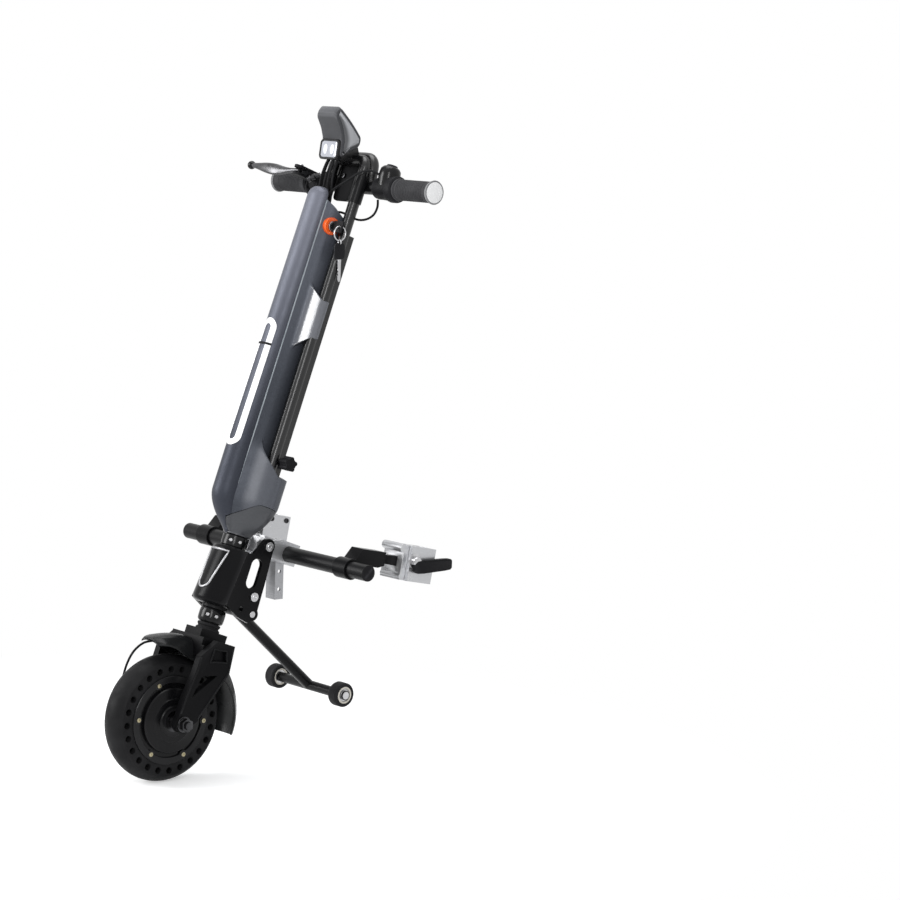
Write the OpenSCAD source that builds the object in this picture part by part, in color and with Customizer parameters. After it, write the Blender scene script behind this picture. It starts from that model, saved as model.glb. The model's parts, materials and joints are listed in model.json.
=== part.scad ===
// Front drive unit with a hub motor wheel, battery column, handlebar, docking crossbar and stand rollers.
// Millimetres, +Z up, the front faces -Y, +X is the rider's left.
// The front tyre touches the floor at the origin.

/* [Front wheel] */
// Radius of the front tyre
wheel_r = 97.5; // [94:0.5:101]
// Width of the front tyre
tyre_w = 46; // [44:1:50]
// Radius of the rim under the tyre
rim_r = 68; // [65:0.5:70]
// Number of holes through the tyre
tyre_holes = 24; // [12:1:26]
// Radius of each hole through the tyre
tyre_hole_r = 5; // [3:0.25:6]
// Half the width of the motor drum
hub_half = 22; // [20:0.5:24]
// Radius of the axle
axle_r = 6; // [5:0.5:7]
// Half the length of the axle
axle_half = 73; // [72:0.5:78]

/* [Fork and steering] */
// Lean of the steering axis from upright, in degrees
lean = 20; // [17:0.5:23]
// Distance from the steering axis forward to the axle
fork_offset = 33.4; // [31:0.2:36]
// Half the gap between the fork legs
fork_in = 46; // [44:0.5:48]
// Thickness of each fork leg
leg_t = 12; // [9:0.5:13]
// Height of the fork shoulder above the axle, along the steering axis
fork_h = 134; // [130:1:138]
// Outer radius of the steerer tube
steerer_r = 14.3; // [13:0.1:15]
// Radius of the lower clamp ring
lower_ring_r = 20; // [18:0.5:22]
// Radius of the upper clamp ring
upper_ring_r = 21; // [18:0.5:22]
// Radius of the front fender's outer face about the axle
front_fender_r = 129; // [122:0.5:132]
// Radius of the rear fender's outer face about the axle
rear_fender_r = 131; // [122:0.5:133]
// Half the width of both fenders
fender_half = 30; // [27:0.5:34]

/* [Head] */
// Half the width of the head housing
head_half = 38; // [36:0.5:40]
// Thickness of the side plates
plate_t = 7; // [5:0.5:9]
// Height of the housing floor along the steering axis
head_floor = 189; // [188:0.5:190]
// Height of the housing
head_h = 88; // [86:0.5:89]

/* [Docking] */
// Radius of the crossbar
bar_r = 12.5; // [11:0.25:13.5]
// Half the length of the crossbar
bar_half = 237; // [230:1:260]
// Distance from the middle to each dock arm
arm_x = 175; // [172:0.5:178]
// Radius of the frame tube that each clamp holds
frame_tube_r = 12.7; // [11:0.1:13.5]
// Height of the clamp blocks
clamp_h = 54; // [50:1:60]
// Backward tilt of the docking parts from level, in degrees
dock_tilt = 11; // [8:0.5:14]

/* [Stand] */
// Radius of the stand leg
stand_leg_r = 8.5; // [7:0.5:10]
// Radius of the stand rollers
roller_r = 19; // [16:0.5:24]
// Width of the stand rollers
roller_w = 20; // [16:1:22]
// Distance from the middle to the inner face of each roller
roller_x = 71; // [60:1:80]

/* [Battery column] */
// Radius of the rounded front spine
spine_r = 22; // [20:0.5:24]
// Half the width of the battery case
case_half = 27.5; // [26:0.5:28]
// Height of the top of the spine's straight length, along the steering axis
spine_top = 826; // [818:1:828]
// Lower end of the light loop
light_bottom = 425; // [415:1:460]
// Upper end of the light loop
light_top = 630; // [560:1:660]

/* [Handlebar] */
// Distance from the middle to each upright tube
upright_x = 38; // [37.5:0.5:40]
// Radius of the upright tubes
upright_r = 9; // [8:0.25:9.5]
// Radius of the bar stubs
stub_r = 11; // [10:0.25:11.5]
// Half the length of the handlebar
handle_half = 197; // [190:1:215]
// Radius of the grips
grip_r = 16; // [14:0.25:17]
// Half the width of the display
display_half = 24; // [21:0.5:27]

/* [Hidden] */

// Fits and cuts
overrun = 2;
seat_gap = 0.05;
running_gap = 0.05;
side_gap = 0.3;
pass_gap = 0.5;
round_fn = 64;
$fn = round_fn;

// Colours
black = "#1c1c1e";
dark_grey = "#3a3a3d";
silver = "#b9babd";
steel = "#8d8f93";
brass = "#b58d4a";
rubber_black = "#151516";
white = "#f2f2f0";
orange = "#e8641b";

// Tyre and hub
tyre_crown_r = 29;
hole_ring_share = 0.34;
hole_ring_r = rim_r + hole_ring_share * (wheel_r - rim_r);
hub_wall = 6;
hub_rim_wall = 13;
hub_cavity_r = rim_r - hub_rim_wall;
hub_screw_count = 6;
hub_screw_r = 2;
hub_screw_len = 10;
hub_screw_head_r = 3.6;
hub_screw_head_h = 2.2;
hub_screw_inset = 8;
hub_screw_ring_r = rim_r - hub_screw_inset;
hub_screw_turn = 30;
cover_r = rim_r - seat_gap;
cover_h = 12;
cover_flange_share = 0.25;
cover_shares = [
    [0, 0], [1, 0], [1, cover_flange_share], [0.80, cover_flange_share], [0.78, 0.10], [0.72, 0.10],
    [0.70, 0.55], [0.47, 0.62], [0.45, 0.78], [0.31, 0.80], [0.29, 1], [0, 1]
];
bearing_r = 16;
bearing_w = 10;
stator_r = 50;
stator_half = 12;
shoulder_r = 10;
washer_r = 12;
washer_t = 2;
nut_r = 10.5;
nut_t = 9;

// Fork
fork_depth = 68;
fork_front = 47;
leg_end_r = 14;
leg_shares = [
    [0.43, 1], [0.088, 0.78], [0.088, 0.62], [0.015, 0.30], [0, 0], [0.404, 0], [0.544, 0.075], [1, 0.687],
    [0.926, 1]
];
leg_opening_shares = [[0.294, 0.575], [0.691, 0.627], [0.191, 0.313]];
leg_pocket_shares = [[0.38, 0.891], [0.75, 0.910], [0.838, 0.799], [0.38, 0.763]];
leg_pocket_d = 5;
crown_front = 33;
crown_top_half = 40;
crown_step = 12;
crown_back = 18;
crown_h = 30;
crown_bottom = fork_h - crown_h;
crown_block_half = 20;
crown_block_depth = 51;
crown_block_h = 12;
steerer_bore_r = 10.8;
lower_ring_drop = 31;
lower_ring_w = head_floor - lower_ring_drop;
lower_ring_h = 23;
upper_ring_h = 18;
ring_screw_r = 2.6;
ring_screw_out = 1.2;
ring_screw_in = 4;
ring_screw_angles = [34, 74];
fender_skin = 3;
fender_sag = 12;
front_fender_end_angle = 120;
rear_fender_end_angle = 2;
fender_root_angle = 80;
fender_arch_r = (fender_half * fender_half + fender_sag * fender_sag) / (2 * fender_sag);

// Head
head_back = 6;
pad_front = 4;
nose_lean = 7.1;
head_tube_r = 25;
head_top = head_floor + head_h;
upper_ring_gap = 2;
upper_ring_w = head_top + upper_ring_gap;
neck_gap = 1;
neck_bottom = upper_ring_w + upper_ring_h + neck_gap;
neck_h = 9;
neck_top = neck_bottom + neck_h;
steerer_in = 32;
steerer_top = neck_bottom + steerer_in;
head_bore_play = 2.5;
head_bore_r = steerer_r + head_bore_play;
head_bearing_r = 20;
head_bearing_h = 11;
trim_half = 23;
trim_w = 3.5;
trim_t = 2.2;
trim_out = 1.2;
trim_foot_r = 13;
trim_low = 19;
trim_top = 83;
plate_out = head_half + plate_t;
plate_front = 14;
plate_bottom = 174;
plate_depth = 61;
plate_over = 4;
plate_shares = [
    [0.148, 0.816], [0, 0.128], [0.443, 0.032], [0.82, 0], [1, 0.08], [0.967, 0.528], [0.902, 0.968],
    [0.525, 1], [0.361, 0.824]
];
plate_slot_r = 10;
plate_slot_v = 19;
plate_slot_bottom = 235;
plate_slot_top = 262;
plate_hole_r = 4;
plate_hole = [15, 191];
pivot_v = 30;
ear_r = 12;
pivot_bolt_r = 5;
latch_v = 31;
latch_w = 215;
latch_pin_r = 5;
bolt_head_r = 7;
bolt_head_h = 4;
stand_v = 40;
stand_w = 189;
stand_pin_r = 5;
stand_ear_r = 10;

// Stand
axle_line_v = 225.3;
axle_line_w = 113.8;
stand_boss_r = 9;
cross_tube_r = 7.75;
roller_axle_r = 5;
roller_cap_r = 7.5;
roller_cap_t = 2;
roller_groove_r = 11;
roller_groove_w = 2;
stand_run = axle_line_v - stand_v;
stand_drop = stand_w - axle_line_w;
stand_len = norm([stand_run, stand_drop]);
stand_slope = atan2(stand_drop, stand_run);

// Docking
bar_v = 81;
bar_over = 18;
bar_w = head_top + bar_over;
pivot_w = bar_w;
bar_wall = 2.5;
bar_bore_r = bar_r - bar_wall;
eye_r = 10;
cheek_in = 28;
cheek_out = 34;
saddle_ahead = 19;
saddle_behind = 17;
saddle_under = 16;
saddle_over = 18;
saddle_front = bar_v - saddle_ahead;
saddle_back = bar_v + saddle_behind;
saddle_low = bar_w - saddle_under;
saddle_high = bar_w + saddle_over;
bridge_t = 12;
bridge_under = 11;
bridge_over = 14;
bridge_front = saddle_front - bridge_t;
bridge_low = bar_w - bridge_under;
bridge_high = bar_w + bridge_over;
slot_half = 12;
cheek_h_half = 10;
cheek_low = pivot_w - cheek_h_half;
cheek_high = pivot_w + cheek_h_half;
cheek_bend = 10;
cheek_bend_v = pivot_v + cheek_bend;
lever_ring_r = 17;
lever_half = slot_half - pass_gap;
lever_tail = 74;
lever_wall = 3;
lever_depth = 16;
lever_hole_r = 3;
lever_hole_drops = [30, 58];
collar_r = 16;
arm_w = 30;
arm_reach = 61;
arm_top = 33;
arm_shares = [[0, 0.242], [0.262, 1], [1, 1], [1, 0.364], [0.82, 0.242]];
tongue_tip = 95;
tongue_half = 10;
tongue_low = 15;
tongue_high = 29;
flange_front = 88;
flange_back = 98;
flange_in = 23;
flange_out = 23;
clamp_low = -5;
horn_r = 6.5;
horn_y = 87;
horn_z = 44;
rod_y = 92;
rod_z = 0.6;
rod_r = 5;
clamp_back = 146;
clamp_tube_x = 185;
clamp_tube_y = 130;
clamp_in = 160;
clamp_out = 205;
clamp_slit = 1;
clamp_bolt_r = 4;
clamp_bolt_y = 106;
clamp_bolt_z = 27;
clamp_bolt_in = 166;
clamp_hub_r = 10;
clamp_hub_h = 10;
clamp_handle_len = 56;
clamp_handle_root = 8;
clamp_handle_tip = 6;
clamp_handle_in = 3;

// Battery column
spine_v = 38;
split_v = 44.5;
spine_chord = sqrt(spine_r * spine_r - (split_v - spine_v) * (split_v - spine_v));
case_step = 14.5;
flare_h = 38;
case_bottom = neck_top + flare_h;
top_rise = 4;
top_front = spine_top + top_rise;
top_drop_share = 0.486;
rail_v = 2;
rail_back = 10;
rail_half = 44;
rail_drop = 42;
rail_top = top_front - rail_drop;
neck_r = 22.5;
seam_over = 11;
seam_front = neck_top + seam_over;
seam_rise_share = 0.83;
foot_r = 18;
foot_x = 38;
foot_v = 8;
slice_t = 1;
block_h = 95;
block_top = case_bottom + block_h;
block_drop_share = 0.68;
cheek_r = 12;
upper_cheek_over = 250;
upper_cheek_h = 104;
upper_cheek_low = case_bottom + upper_cheek_over;
upper_cheek_top = upper_cheek_low + upper_cheek_h;
cheek_front_v = 27;
cheek_nose = [5.2, 10.8];
light_outer = 15.3;
light_inner = 4.5;
light_depth = 1.2;
light_proud = 0.3;
pack_half = 22;
pack_front = 34;
pack_back = 6;
pack_over = 35;
pack_under = 60;
pack_bottom = case_bottom + pack_over;
pack_top = top_front - pack_under;
pack_gap = 0.5;
lock_v = 27;
lock_drop = 37;
lock_w = top_front - lock_drop;
lock_ring_r = 13.5;
lock_seat_d = 6;
lock_ring_out = 3.5;
lock_barrel_r = 8;
lock_barrel_in = 14;
lock_barrel_out = 6;
key_slot_w = 9;
key_blade_in = 6;
key_head_out = 22;
key_head_half = 9;
key_head_t = 3;
key_gap = 0.2;
key_hole_r = 3.2;
key_ring_seat = 1.2;
key_hole_share = 0.74;
key_ring_r = 11;
key_wire_r = 0.9;
spare_head_half = 10;
spare_head_h = 24;
spare_t = 3;
spare_blade_half = 3;
spare_blade_h = 36;
spare_eye_r = 3.4;
spare_eye_wire = 1.1;

// Handlebar
upright_v = -6;
upright_wall = 2;
upright_bore_r = upright_r - upright_wall;
upright_over = 5;
upright_bottom = case_bottom + upright_over;
handle_v = 11;
handle_rise = 45;
handle_w = spine_top + handle_rise;
bow_rise = 37;
bow_w = handle_w + bow_rise;
bow_bend_r = 13;
sleeve_r = 11;
sleeve_under = 32;
sleeve_over = 12;
sleeve_bottom = handle_w - sleeve_under;
sleeve_top = handle_w + sleeve_over;
stub_root = 6;
stub_bore_r = 8.5;
knob_v = 5.5;
knob_drop = 17.5;
knob_w = block_top - knob_drop;
knob_screw_r = 3.2;
knob_screw_in = 8;
knob_neck_r = 4.8;
knob_neck_h = 7;
knob_r = 9;
knob_h = 18;
knob_lobes = 5;
knob_lobe_r = 3.5;
knob_lobe_at = 8.2;
knob_turn = 23;
grip_start = 113.5;
grip_flange_r = 17.5;
grip_flange_t = 4;
right_grip_start = 105;
throttle_in = 66;
throttle_out = 113;
throttle_r = 18.5;
pod_x = 88;
pod_v = 5;
pod_r = 14;
pod_rise = 33;
pod_top = handle_w + pod_rise;
button_r = 9;
button_h = 8;
button_out = 3;
button_pocket = 9;
perch_in = 70;
perch_out = 92;
perch_r = 15;
lever_pivot_x = 90;
lever_pivot_v = 30;
lever_pivot_rise = 6;
lever_pivot_w = handle_w + lever_pivot_rise;
lever_pin_r = 3;
lever_ear_r = 9;
lever_ear_t = 4;
lever_hub_h = 8;
lever_tip_x = 200;
lever_tip_v = 41;
lever_ball_r = 6.5;
lever_root_half = 6;
lever_tip_half = 4;
display_front = 81;
display_drop = 11;
display_corner = [-display_front, bow_w - display_drop];
display_span = [65, 73];
display_shares = [
    [0, 0.822], [0.077, 1], [0.969, 0.603], [1, 0.397], [0.662, 0.11], [0.508, 0], [0.4, 0.041], [0.354, 0.329],
    [0.415, 0.466]
];
screen_half = 20;
screen_t = 1.5;
screen_margin = 5;
lens_half = 17;
lens_t = 3;
lens_margin = 3;
bracket_half = 9;
bracket_front = 44;
bracket_drop = 10;
bracket_corner = [-bracket_front, bow_w - bracket_drop];
bracket_span = [46, 34];
bracket_shares = [[0.87, 0.059], [1, 0.47], [0.696, 1], [0, 0.353], [0.217, 0]];

// Cables: routes as [x, back, up] along the steering frame
cable_r = 2.4;
cable_sides = 8;
cable_steps = 6;
gland_r = 3.3;
gland_d = 8;
motor_route = [
    [-38, -33, 114], [-38, -50, 110], [-38, -68, 105], [-38, -82, 97], [-40, -92, 80], [-47, -91, 56],
    [-63, -76, 30], [-73.5, -55, 9], [-75.9, -34, 0]
];
brake_route = [
    [-84, -12, 868], [-80, -14, 855], [-64, -18, 844], [-42, -22, 839], [-22, -23, 836],
    [-12, -21, 829], [-10, -20, 820], [-10, -20, 809]
];
throttle_route = [
    [72, 10, 852], [75, 11, 840], [70, 12, 828], [56, 12, 820], [36, 11, 818], [20, 2, 822],
    [12, -8, 822], [10, -14, 816], [10, -14, 806]
];
display_route = [
    [6, -44, 897.8], [6, -44, 885], [4, -42, 868], [2, -36, 850], [0, -30, 836], [0, -26, 824], [0, -26, 812]
];

// Steering frame: x across, y backward across the steering axis, z up along it
module on_axis() {
    translate([0, 0, wheel_r]) rotate([-lean, 0, 0]) translate([0, fork_offset, 0]) children();
}

// Docking frame: origin on the crossbar, tilted back from level
module on_dock() {
    on_axis() translate([0, bar_v, bar_w]) rotate([lean - dock_tilt, 0, 0]) children();
}

// Frame with the side of the part as +X, for pieces made once and mirrored
module on_side(side) {
    mirror([side < 0 ? 1 : 0, 0, 0]) children();
}

// Round bar along x between two places
module rod_x(r, from, to) {
    translate([from, 0, 0]) rotate([0, 90, 0]) cylinder(r = r, h = to - from);
}

// Flat outline in [back, up], given thickness along x
module slab_x(from, to) {
    translate([from, 0, 0]) rotate([90, 0, 90]) linear_extrude(height = to - from) children();
}

// Points given as shares of a box
function placed(shares, corner, span) =
    [for (s = shares) [corner[0] + s[0] * span[0], corner[1] + s[1] * span[1]]];

// Point on a smooth curve between the second and third of four points
function curve_point(a, b, c, d, t) =
    (2 * b + (c - a) * t + (2 * a - 5 * b + 4 * c - d) * t * t + (3 * b - a - 3 * c + d) * t * t * t) / 2;

// Smooth run of points through a route
function smooth_route(route, steps) = concat(
    [for (i = [0 : len(route) - 2], k = [0 : steps - 1])
        curve_point(route[max(i - 1, 0)], route[i], route[i + 1], route[min(i + 2, len(route) - 1)], k / steps)],
    [route[len(route) - 1]]
);

function unit(v) = v / norm(v);

// Round cable along a route, with rings square to its run
module cable(route, aside) {
    run = smooth_route(route, cable_steps);
    last = len(run) - 1;
    rings = [for (i = [0 : last])
        let (
            ahead = unit(run[min(i + 1, last)] - run[max(i - 1, 0)]),
            across = unit(cross(ahead, aside)),
            lift = cross(across, ahead)
        )
        for (k = [0 : cable_sides - 1])
            let (turn = 360 * k / cable_sides)
            run[i] + cable_r * (cos(turn) * across + sin(turn) * lift)
    ];
    skin = [for (i = [0 : last - 1], k = [0 : cable_sides - 1])
        let (next = (k + 1) % cable_sides)
        [i * cable_sides + k, (i + 1) * cable_sides + k, (i + 1) * cable_sides + next, i * cable_sides + next]
    ];
    start_cap = [[for (k = [0 : cable_sides - 1]) k]];
    end_cap = [[for (k = [cable_sides - 1 : -1 : 0]) last * cable_sides + k]];
    polyhedron(points = rings, faces = concat(start_cap, skin, end_cap), convexity = 6);
}

// Half section of the tyre
module tyre_section() {
    intersection() {
        translate([rim_r, -tyre_w / 2]) square([wheel_r - rim_r, tyre_w]);
        translate([wheel_r - tyre_crown_r, 0]) circle(r = tyre_crown_r);
    }
}

module tyre() {
    color(rubber_black) translate([0, 0, wheel_r]) difference() {
        rotate([0, 90, 0]) rotate_extrude() tyre_section();
        for (i = [0 : tyre_holes - 1])
            rotate([360 * i / tyre_holes, 0, 0]) translate([0, 0, hole_ring_r])
                rod_x(tyre_hole_r, -tyre_w / 2 - overrun, tyre_w / 2 + overrun);
    }
}

// Turned end face of the hub, standing on the drum's side
module hub_face() {
    translate([hub_half, 0, 0]) rotate([0, 90, 0])
        rotate_extrude() polygon(placed(cover_shares, [0, 0], [cover_r, cover_h]));
}

// Places of the cover screws about the axle
module at_hub_screws() {
    for (i = [0 : hub_screw_count - 1])
        rotate([hub_screw_turn + 360 * i / hub_screw_count, 0, 0]) translate([0, 0, hub_screw_ring_r]) children();
}

module hub_shell() {
    color(black) translate([0, 0, wheel_r]) difference() {
        union() {
            rod_x(cover_r, -hub_half, hub_half);
            on_side(-1) hub_face();
        }
        rod_x(hub_cavity_r, -hub_half + hub_wall, hub_half + overrun);
        rod_x(bearing_r, -hub_half - cover_h - overrun, hub_half);
        at_hub_screws() rod_x(hub_screw_r, hub_half - hub_screw_len, hub_half + overrun);
    }
}

module hub_cover() {
    color(dark_grey) translate([0, 0, wheel_r]) difference() {
        hub_face();
        rod_x(bearing_r, hub_half - overrun, hub_half + cover_h + overrun);
        at_hub_screws() rod_x(hub_screw_r, hub_half - overrun, hub_half + cover_h);
    }
}

module hub_screws() {
    head_base = hub_half + cover_flange_share * cover_h;
    color(brass) translate([0, 0, wheel_r]) at_hub_screws() {
        rod_x(hub_screw_r - seat_gap, hub_half - hub_screw_len + pass_gap, head_base);
        rod_x(hub_screw_head_r, head_base, head_base + hub_screw_head_h);
    }
}

module wheel_bearings() {
    color(steel) translate([0, 0, wheel_r]) for (side = [-1, 1]) on_side(side) difference() {
        rod_x(bearing_r - seat_gap, hub_half + cover_h - bearing_w, hub_half + cover_h);
        rod_x(axle_r + running_gap, hub_half - overrun, hub_half + cover_h + overrun);
    }
}

// Axle with its shoulders and the stator core pressed on it
module motor_axle() {
    color(steel) translate([0, 0, wheel_r]) {
        rod_x(axle_r, -axle_half, axle_half);
        rod_x(stator_r, -stator_half, stator_half);
        for (side = [-1, 1]) on_side(side) rod_x(shoulder_r, hub_half + cover_h + pass_gap, fork_in - seat_gap);
    }
}

module axle_nuts() {
    face = fork_in + leg_t;
    color(steel) translate([0, 0, wheel_r]) for (side = [-1, 1]) on_side(side) difference() {
        union() {
            rod_x(washer_r, face, face + washer_t);
            translate([face + washer_t, 0, 0]) rotate([0, 90, 0]) cylinder(r = nut_r, h = nut_t, $fn = 6);
        }
        rod_x(axle_r + seat_gap, face - overrun, face + washer_t + nut_t + overrun);
    }
}

// Fork leg on the +X side
module fork_leg() {
    corner = [-fork_front, 0];
    span = [fork_depth, fork_h];
    out = fork_in + leg_t;
    difference() {
        slab_x(fork_in, out) difference() {
            union() {
                polygon(placed(leg_shares, corner, span));
                translate([-fork_offset, 0]) circle(r = leg_end_r);
            }
            polygon(placed(leg_opening_shares, corner, span));
        }
        slab_x(out - leg_pocket_d, out + overrun) polygon(placed(leg_pocket_shares, corner, span));
        translate([0, -fork_offset, 0]) rod_x(axle_r + seat_gap, fork_in - overrun, out + overrun);
    }
}

// Fork with its crown and the steerer tube
module fork() {
    color(black) on_axis() {
        for (side = [-1, 1]) on_side(side) fork_leg();
        difference() {
            union() {
                translate([-fork_in, -crown_front, crown_bottom])
                    cube([2 * fork_in, crown_front + crown_back, crown_h - crown_step]);
                translate([-crown_top_half, -crown_front, crown_bottom])
                    cube([2 * crown_top_half, crown_front + crown_back, crown_h]);
                translate([-crown_block_half, -crown_block_depth / 2, fork_h])
                    cube([2 * crown_block_half, crown_block_depth, crown_block_h]);
                translate([0, 0, crown_bottom]) cylinder(r = steerer_r, h = steerer_top - crown_bottom);
            }
            translate([0, 0, crown_bottom - overrun])
                cylinder(r = steerer_bore_r, h = steerer_top - crown_bottom + 2 * overrun);
        }
    }
}

// Ring about the steerer
module steerer_ring(r, base, h) {
    translate([0, 0, base]) difference() {
        cylinder(r = r, h = h);
        translate([0, 0, -overrun]) cylinder(r = steerer_r + seat_gap, h = h + 2 * overrun);
    }
}

// Places of the two clamp screws of one ring, pointing out along +Y
module at_ring_screws(base, h) {
    for (turn = ring_screw_angles)
        translate([0, 0, base + h / 2]) rotate([0, 0, turn]) rotate([90, 0, 0]) children();
}

module clamp_rings() {
    color(black) on_axis() {
        difference() {
            steerer_ring(lower_ring_r, lower_ring_w, lower_ring_h);
            at_ring_screws(lower_ring_w, lower_ring_h) ring_screw_hole(lower_ring_r);
        }
        difference() {
            steerer_ring(upper_ring_r, upper_ring_w, upper_ring_h);
            at_ring_screws(upper_ring_w, upper_ring_h) ring_screw_hole(upper_ring_r);
        }
    }
}

// Blind hole for a clamp screw in a ring
module ring_screw_hole(r) {
    translate([0, 0, r - ring_screw_in]) cylinder(r = ring_screw_r + seat_gap, h = ring_screw_in + overrun);
}

// Clamp screw in a ring
module ring_screw(r) {
    translate([0, 0, r - ring_screw_in + seat_gap])
        cylinder(r = ring_screw_r, h = ring_screw_in + ring_screw_out - seat_gap);
}

module ring_screws() {
    color(silver) on_axis() {
        at_ring_screws(lower_ring_w, lower_ring_h) ring_screw(lower_ring_r);
        at_ring_screws(upper_ring_w, upper_ring_h) ring_screw(upper_ring_r);
    }
}

// Arched shell bent about the axle, from one angle up to another
module fender_arc(r, start, end) {
    translate([0, -fork_offset, 0]) rotate([0, 90, 0]) rotate([0, 0, 90 + start])
        rotate_extrude(angle = end - start) intersection() {
            translate([r - fender_arch_r, 0]) difference() {
                circle(r = fender_arch_r);
                circle(r = fender_arch_r - fender_skin);
            }
            translate([r - fender_sag, -fender_half]) square([fender_sag + overrun, 2 * fender_half]);
        }
}

// Space that the crown fills, for fenders that end on it
module crown_space() {
    translate([-fork_in, -crown_front, 0]) cube([2 * fork_in, crown_front + crown_back, fork_h + crown_h]);
}

module front_fender() {
    color(black) on_axis() difference() {
        fender_arc(front_fender_r, fender_root_angle, front_fender_end_angle);
        crown_space();
    }
}

module rear_fender() {
    color(black) on_axis() difference() {
        fender_arc(rear_fender_r, rear_fender_end_angle, fender_root_angle);
        crown_space();
    }
}

// Rounded column of the head's nose, leaning back a little more than the steering axis
module nose(r) {
    translate([0, 0, head_floor]) rotate([-nose_lean, 0, 0]) translate([0, 0, -head_h])
        cylinder(r = r, h = 3 * head_h);
}

// Flat outline of the front trim as [x, height above the housing floor], filled: wide at the top, round below
module trim_outline(inset) {
    half = trim_half - inset;
    foot = trim_foot_r - inset;
    middle = trim_low + trim_foot_r;
    polygon([[-foot, middle], [foot, middle], [half, trim_top - inset], [-half, trim_top - inset]]);
    translate([0, middle]) circle(r = foot);
}

// Loop of trim pressed through the front of the nose between two radii
module trim_band(gap, inner, outer) {
    intersection() {
        difference() {
            nose(outer);
            nose(inner);
        }
        translate([0, 0, head_floor]) rotate([90, 0, 0]) linear_extrude(height = 2 * head_half) difference() {
            trim_outline(-gap);
            trim_outline(trim_w + gap);
        }
    }
}

module head_housing() {
    color(black) on_axis() difference() {
        union() {
            intersection() {
                nose(head_half);
                translate([-head_half, head_back - 3 * head_half, head_floor])
                    cube([2 * head_half, 3 * head_half, head_h]);
            }
            translate([-head_half, -pad_front, head_floor]) cube([2 * head_half, pad_front + head_back, head_h]);
            translate([0, 0, head_floor]) cylinder(r = head_tube_r, h = head_h);
        }
        translate([0, 0, head_floor - overrun]) cylinder(r = head_bore_r, h = head_h + 2 * overrun);
        translate([0, 0, head_floor - overrun]) cylinder(r = head_bearing_r, h = head_bearing_h + overrun);
        translate([0, 0, head_top - head_bearing_h]) cylinder(r = head_bearing_r, h = head_bearing_h + overrun);
        trim_band(seat_gap, head_half + trim_out - trim_t, head_half + overrun);
    }
}

module front_trim() {
    color(silver) on_axis() trim_band(0, head_half + trim_out - trim_t + seat_gap, head_half + trim_out);
}

module head_bearings() {
    low = lower_ring_w + lower_ring_h + side_gap;
    high = upper_ring_w - side_gap;
    color(steel) on_axis() {
        head_bearing(low, head_floor + head_bearing_h - seat_gap);
        head_bearing(head_top - head_bearing_h + seat_gap, high);
    }
}

// Headset bearing between two heights
module head_bearing(low, high) {
    difference() {
        translate([0, 0, low]) cylinder(r = head_bearing_r - seat_gap, h = high - low);
        translate([0, 0, low - overrun]) cylinder(r = steerer_r + running_gap, h = high - low + 2 * overrun);
    }
}

// Outline of a side plate without its holes
module plate_outline() {
    span = [plate_depth, pivot_w + plate_over - plate_bottom];
    polygon(placed(plate_shares, [-plate_front, plate_bottom], span));
    translate([pivot_v, pivot_w]) circle(r = ear_r);
    translate([stand_v, stand_w]) circle(r = stand_ear_r);
}

// Side plate on the +X side
module side_plate() {
    difference() {
        slab_x(head_half, plate_out) difference() {
            plate_outline();
            translate([plate_slot_v - plate_slot_r, plate_slot_bottom])
                square([2 * plate_slot_r, plate_slot_top - plate_slot_bottom]);
            for (height = [plate_slot_bottom, plate_slot_top])
                translate([plate_slot_v, height]) circle(r = plate_slot_r);
            translate(plate_hole) circle(r = plate_hole_r);
        }
        translate([0, pivot_v, pivot_w]) rod_x(pivot_bolt_r + seat_gap, head_half - overrun, plate_out + overrun);
        translate([0, latch_v, latch_w]) rod_x(latch_pin_r + seat_gap, head_half - overrun, plate_out + overrun);
        translate([0, stand_v, stand_w]) rod_x(stand_pin_r + seat_gap, head_half - overrun, plate_out + overrun);
    }
}

module left_side_plate() {
    color(black) on_axis() side_plate();
}

module right_side_plate() {
    color(black) on_axis() on_side(-1) side_plate();
}

// Button head on the outside of a side plate
module bolt_head() {
    rod_x(bolt_head_r, plate_out, plate_out + bolt_head_h);
}

module carrier_pivot_bolts() {
    color(silver) on_axis() translate([0, pivot_v, pivot_w]) for (side = [-1, 1]) on_side(side) {
        rod_x(pivot_bolt_r, cheek_in, plate_out);
        bolt_head();
    }
}

module latch_pin() {
    color(silver) on_axis() translate([0, latch_v, latch_w]) {
        rod_x(latch_pin_r, -plate_out, plate_out);
        for (side = [-1, 1]) on_side(side) bolt_head();
    }
}

module stand_pivot_pin() {
    color(steel) on_axis() translate([0, stand_v, stand_w]) rod_x(stand_pin_r, -plate_out, plate_out);
}

// Stand with its pivot boss, leg, cross tube and roller axles
module stand_leg() {
    roller_out = roller_x + roller_w + pass_gap;
    color(black) on_axis() difference() {
        union() {
            translate([0, stand_v, stand_w]) rod_x(stand_boss_r, -head_half + pass_gap, head_half - pass_gap);
            translate([0, stand_v, stand_w]) rotate([-90 - stand_slope, 0, 0])
                cylinder(r = stand_leg_r, h = stand_len);
            translate([0, axle_line_v, axle_line_w]) {
                rod_x(cross_tube_r, -roller_x + pass_gap, roller_x - pass_gap);
                rod_x(roller_axle_r, -roller_out, roller_out);
                for (side = [-1, 1]) on_side(side) rod_x(roller_cap_r, roller_out, roller_out + roller_cap_t);
            }
        }
        translate([0, stand_v, stand_w]) rod_x(stand_pin_r + running_gap, -head_half, head_half);
    }
}

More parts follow.
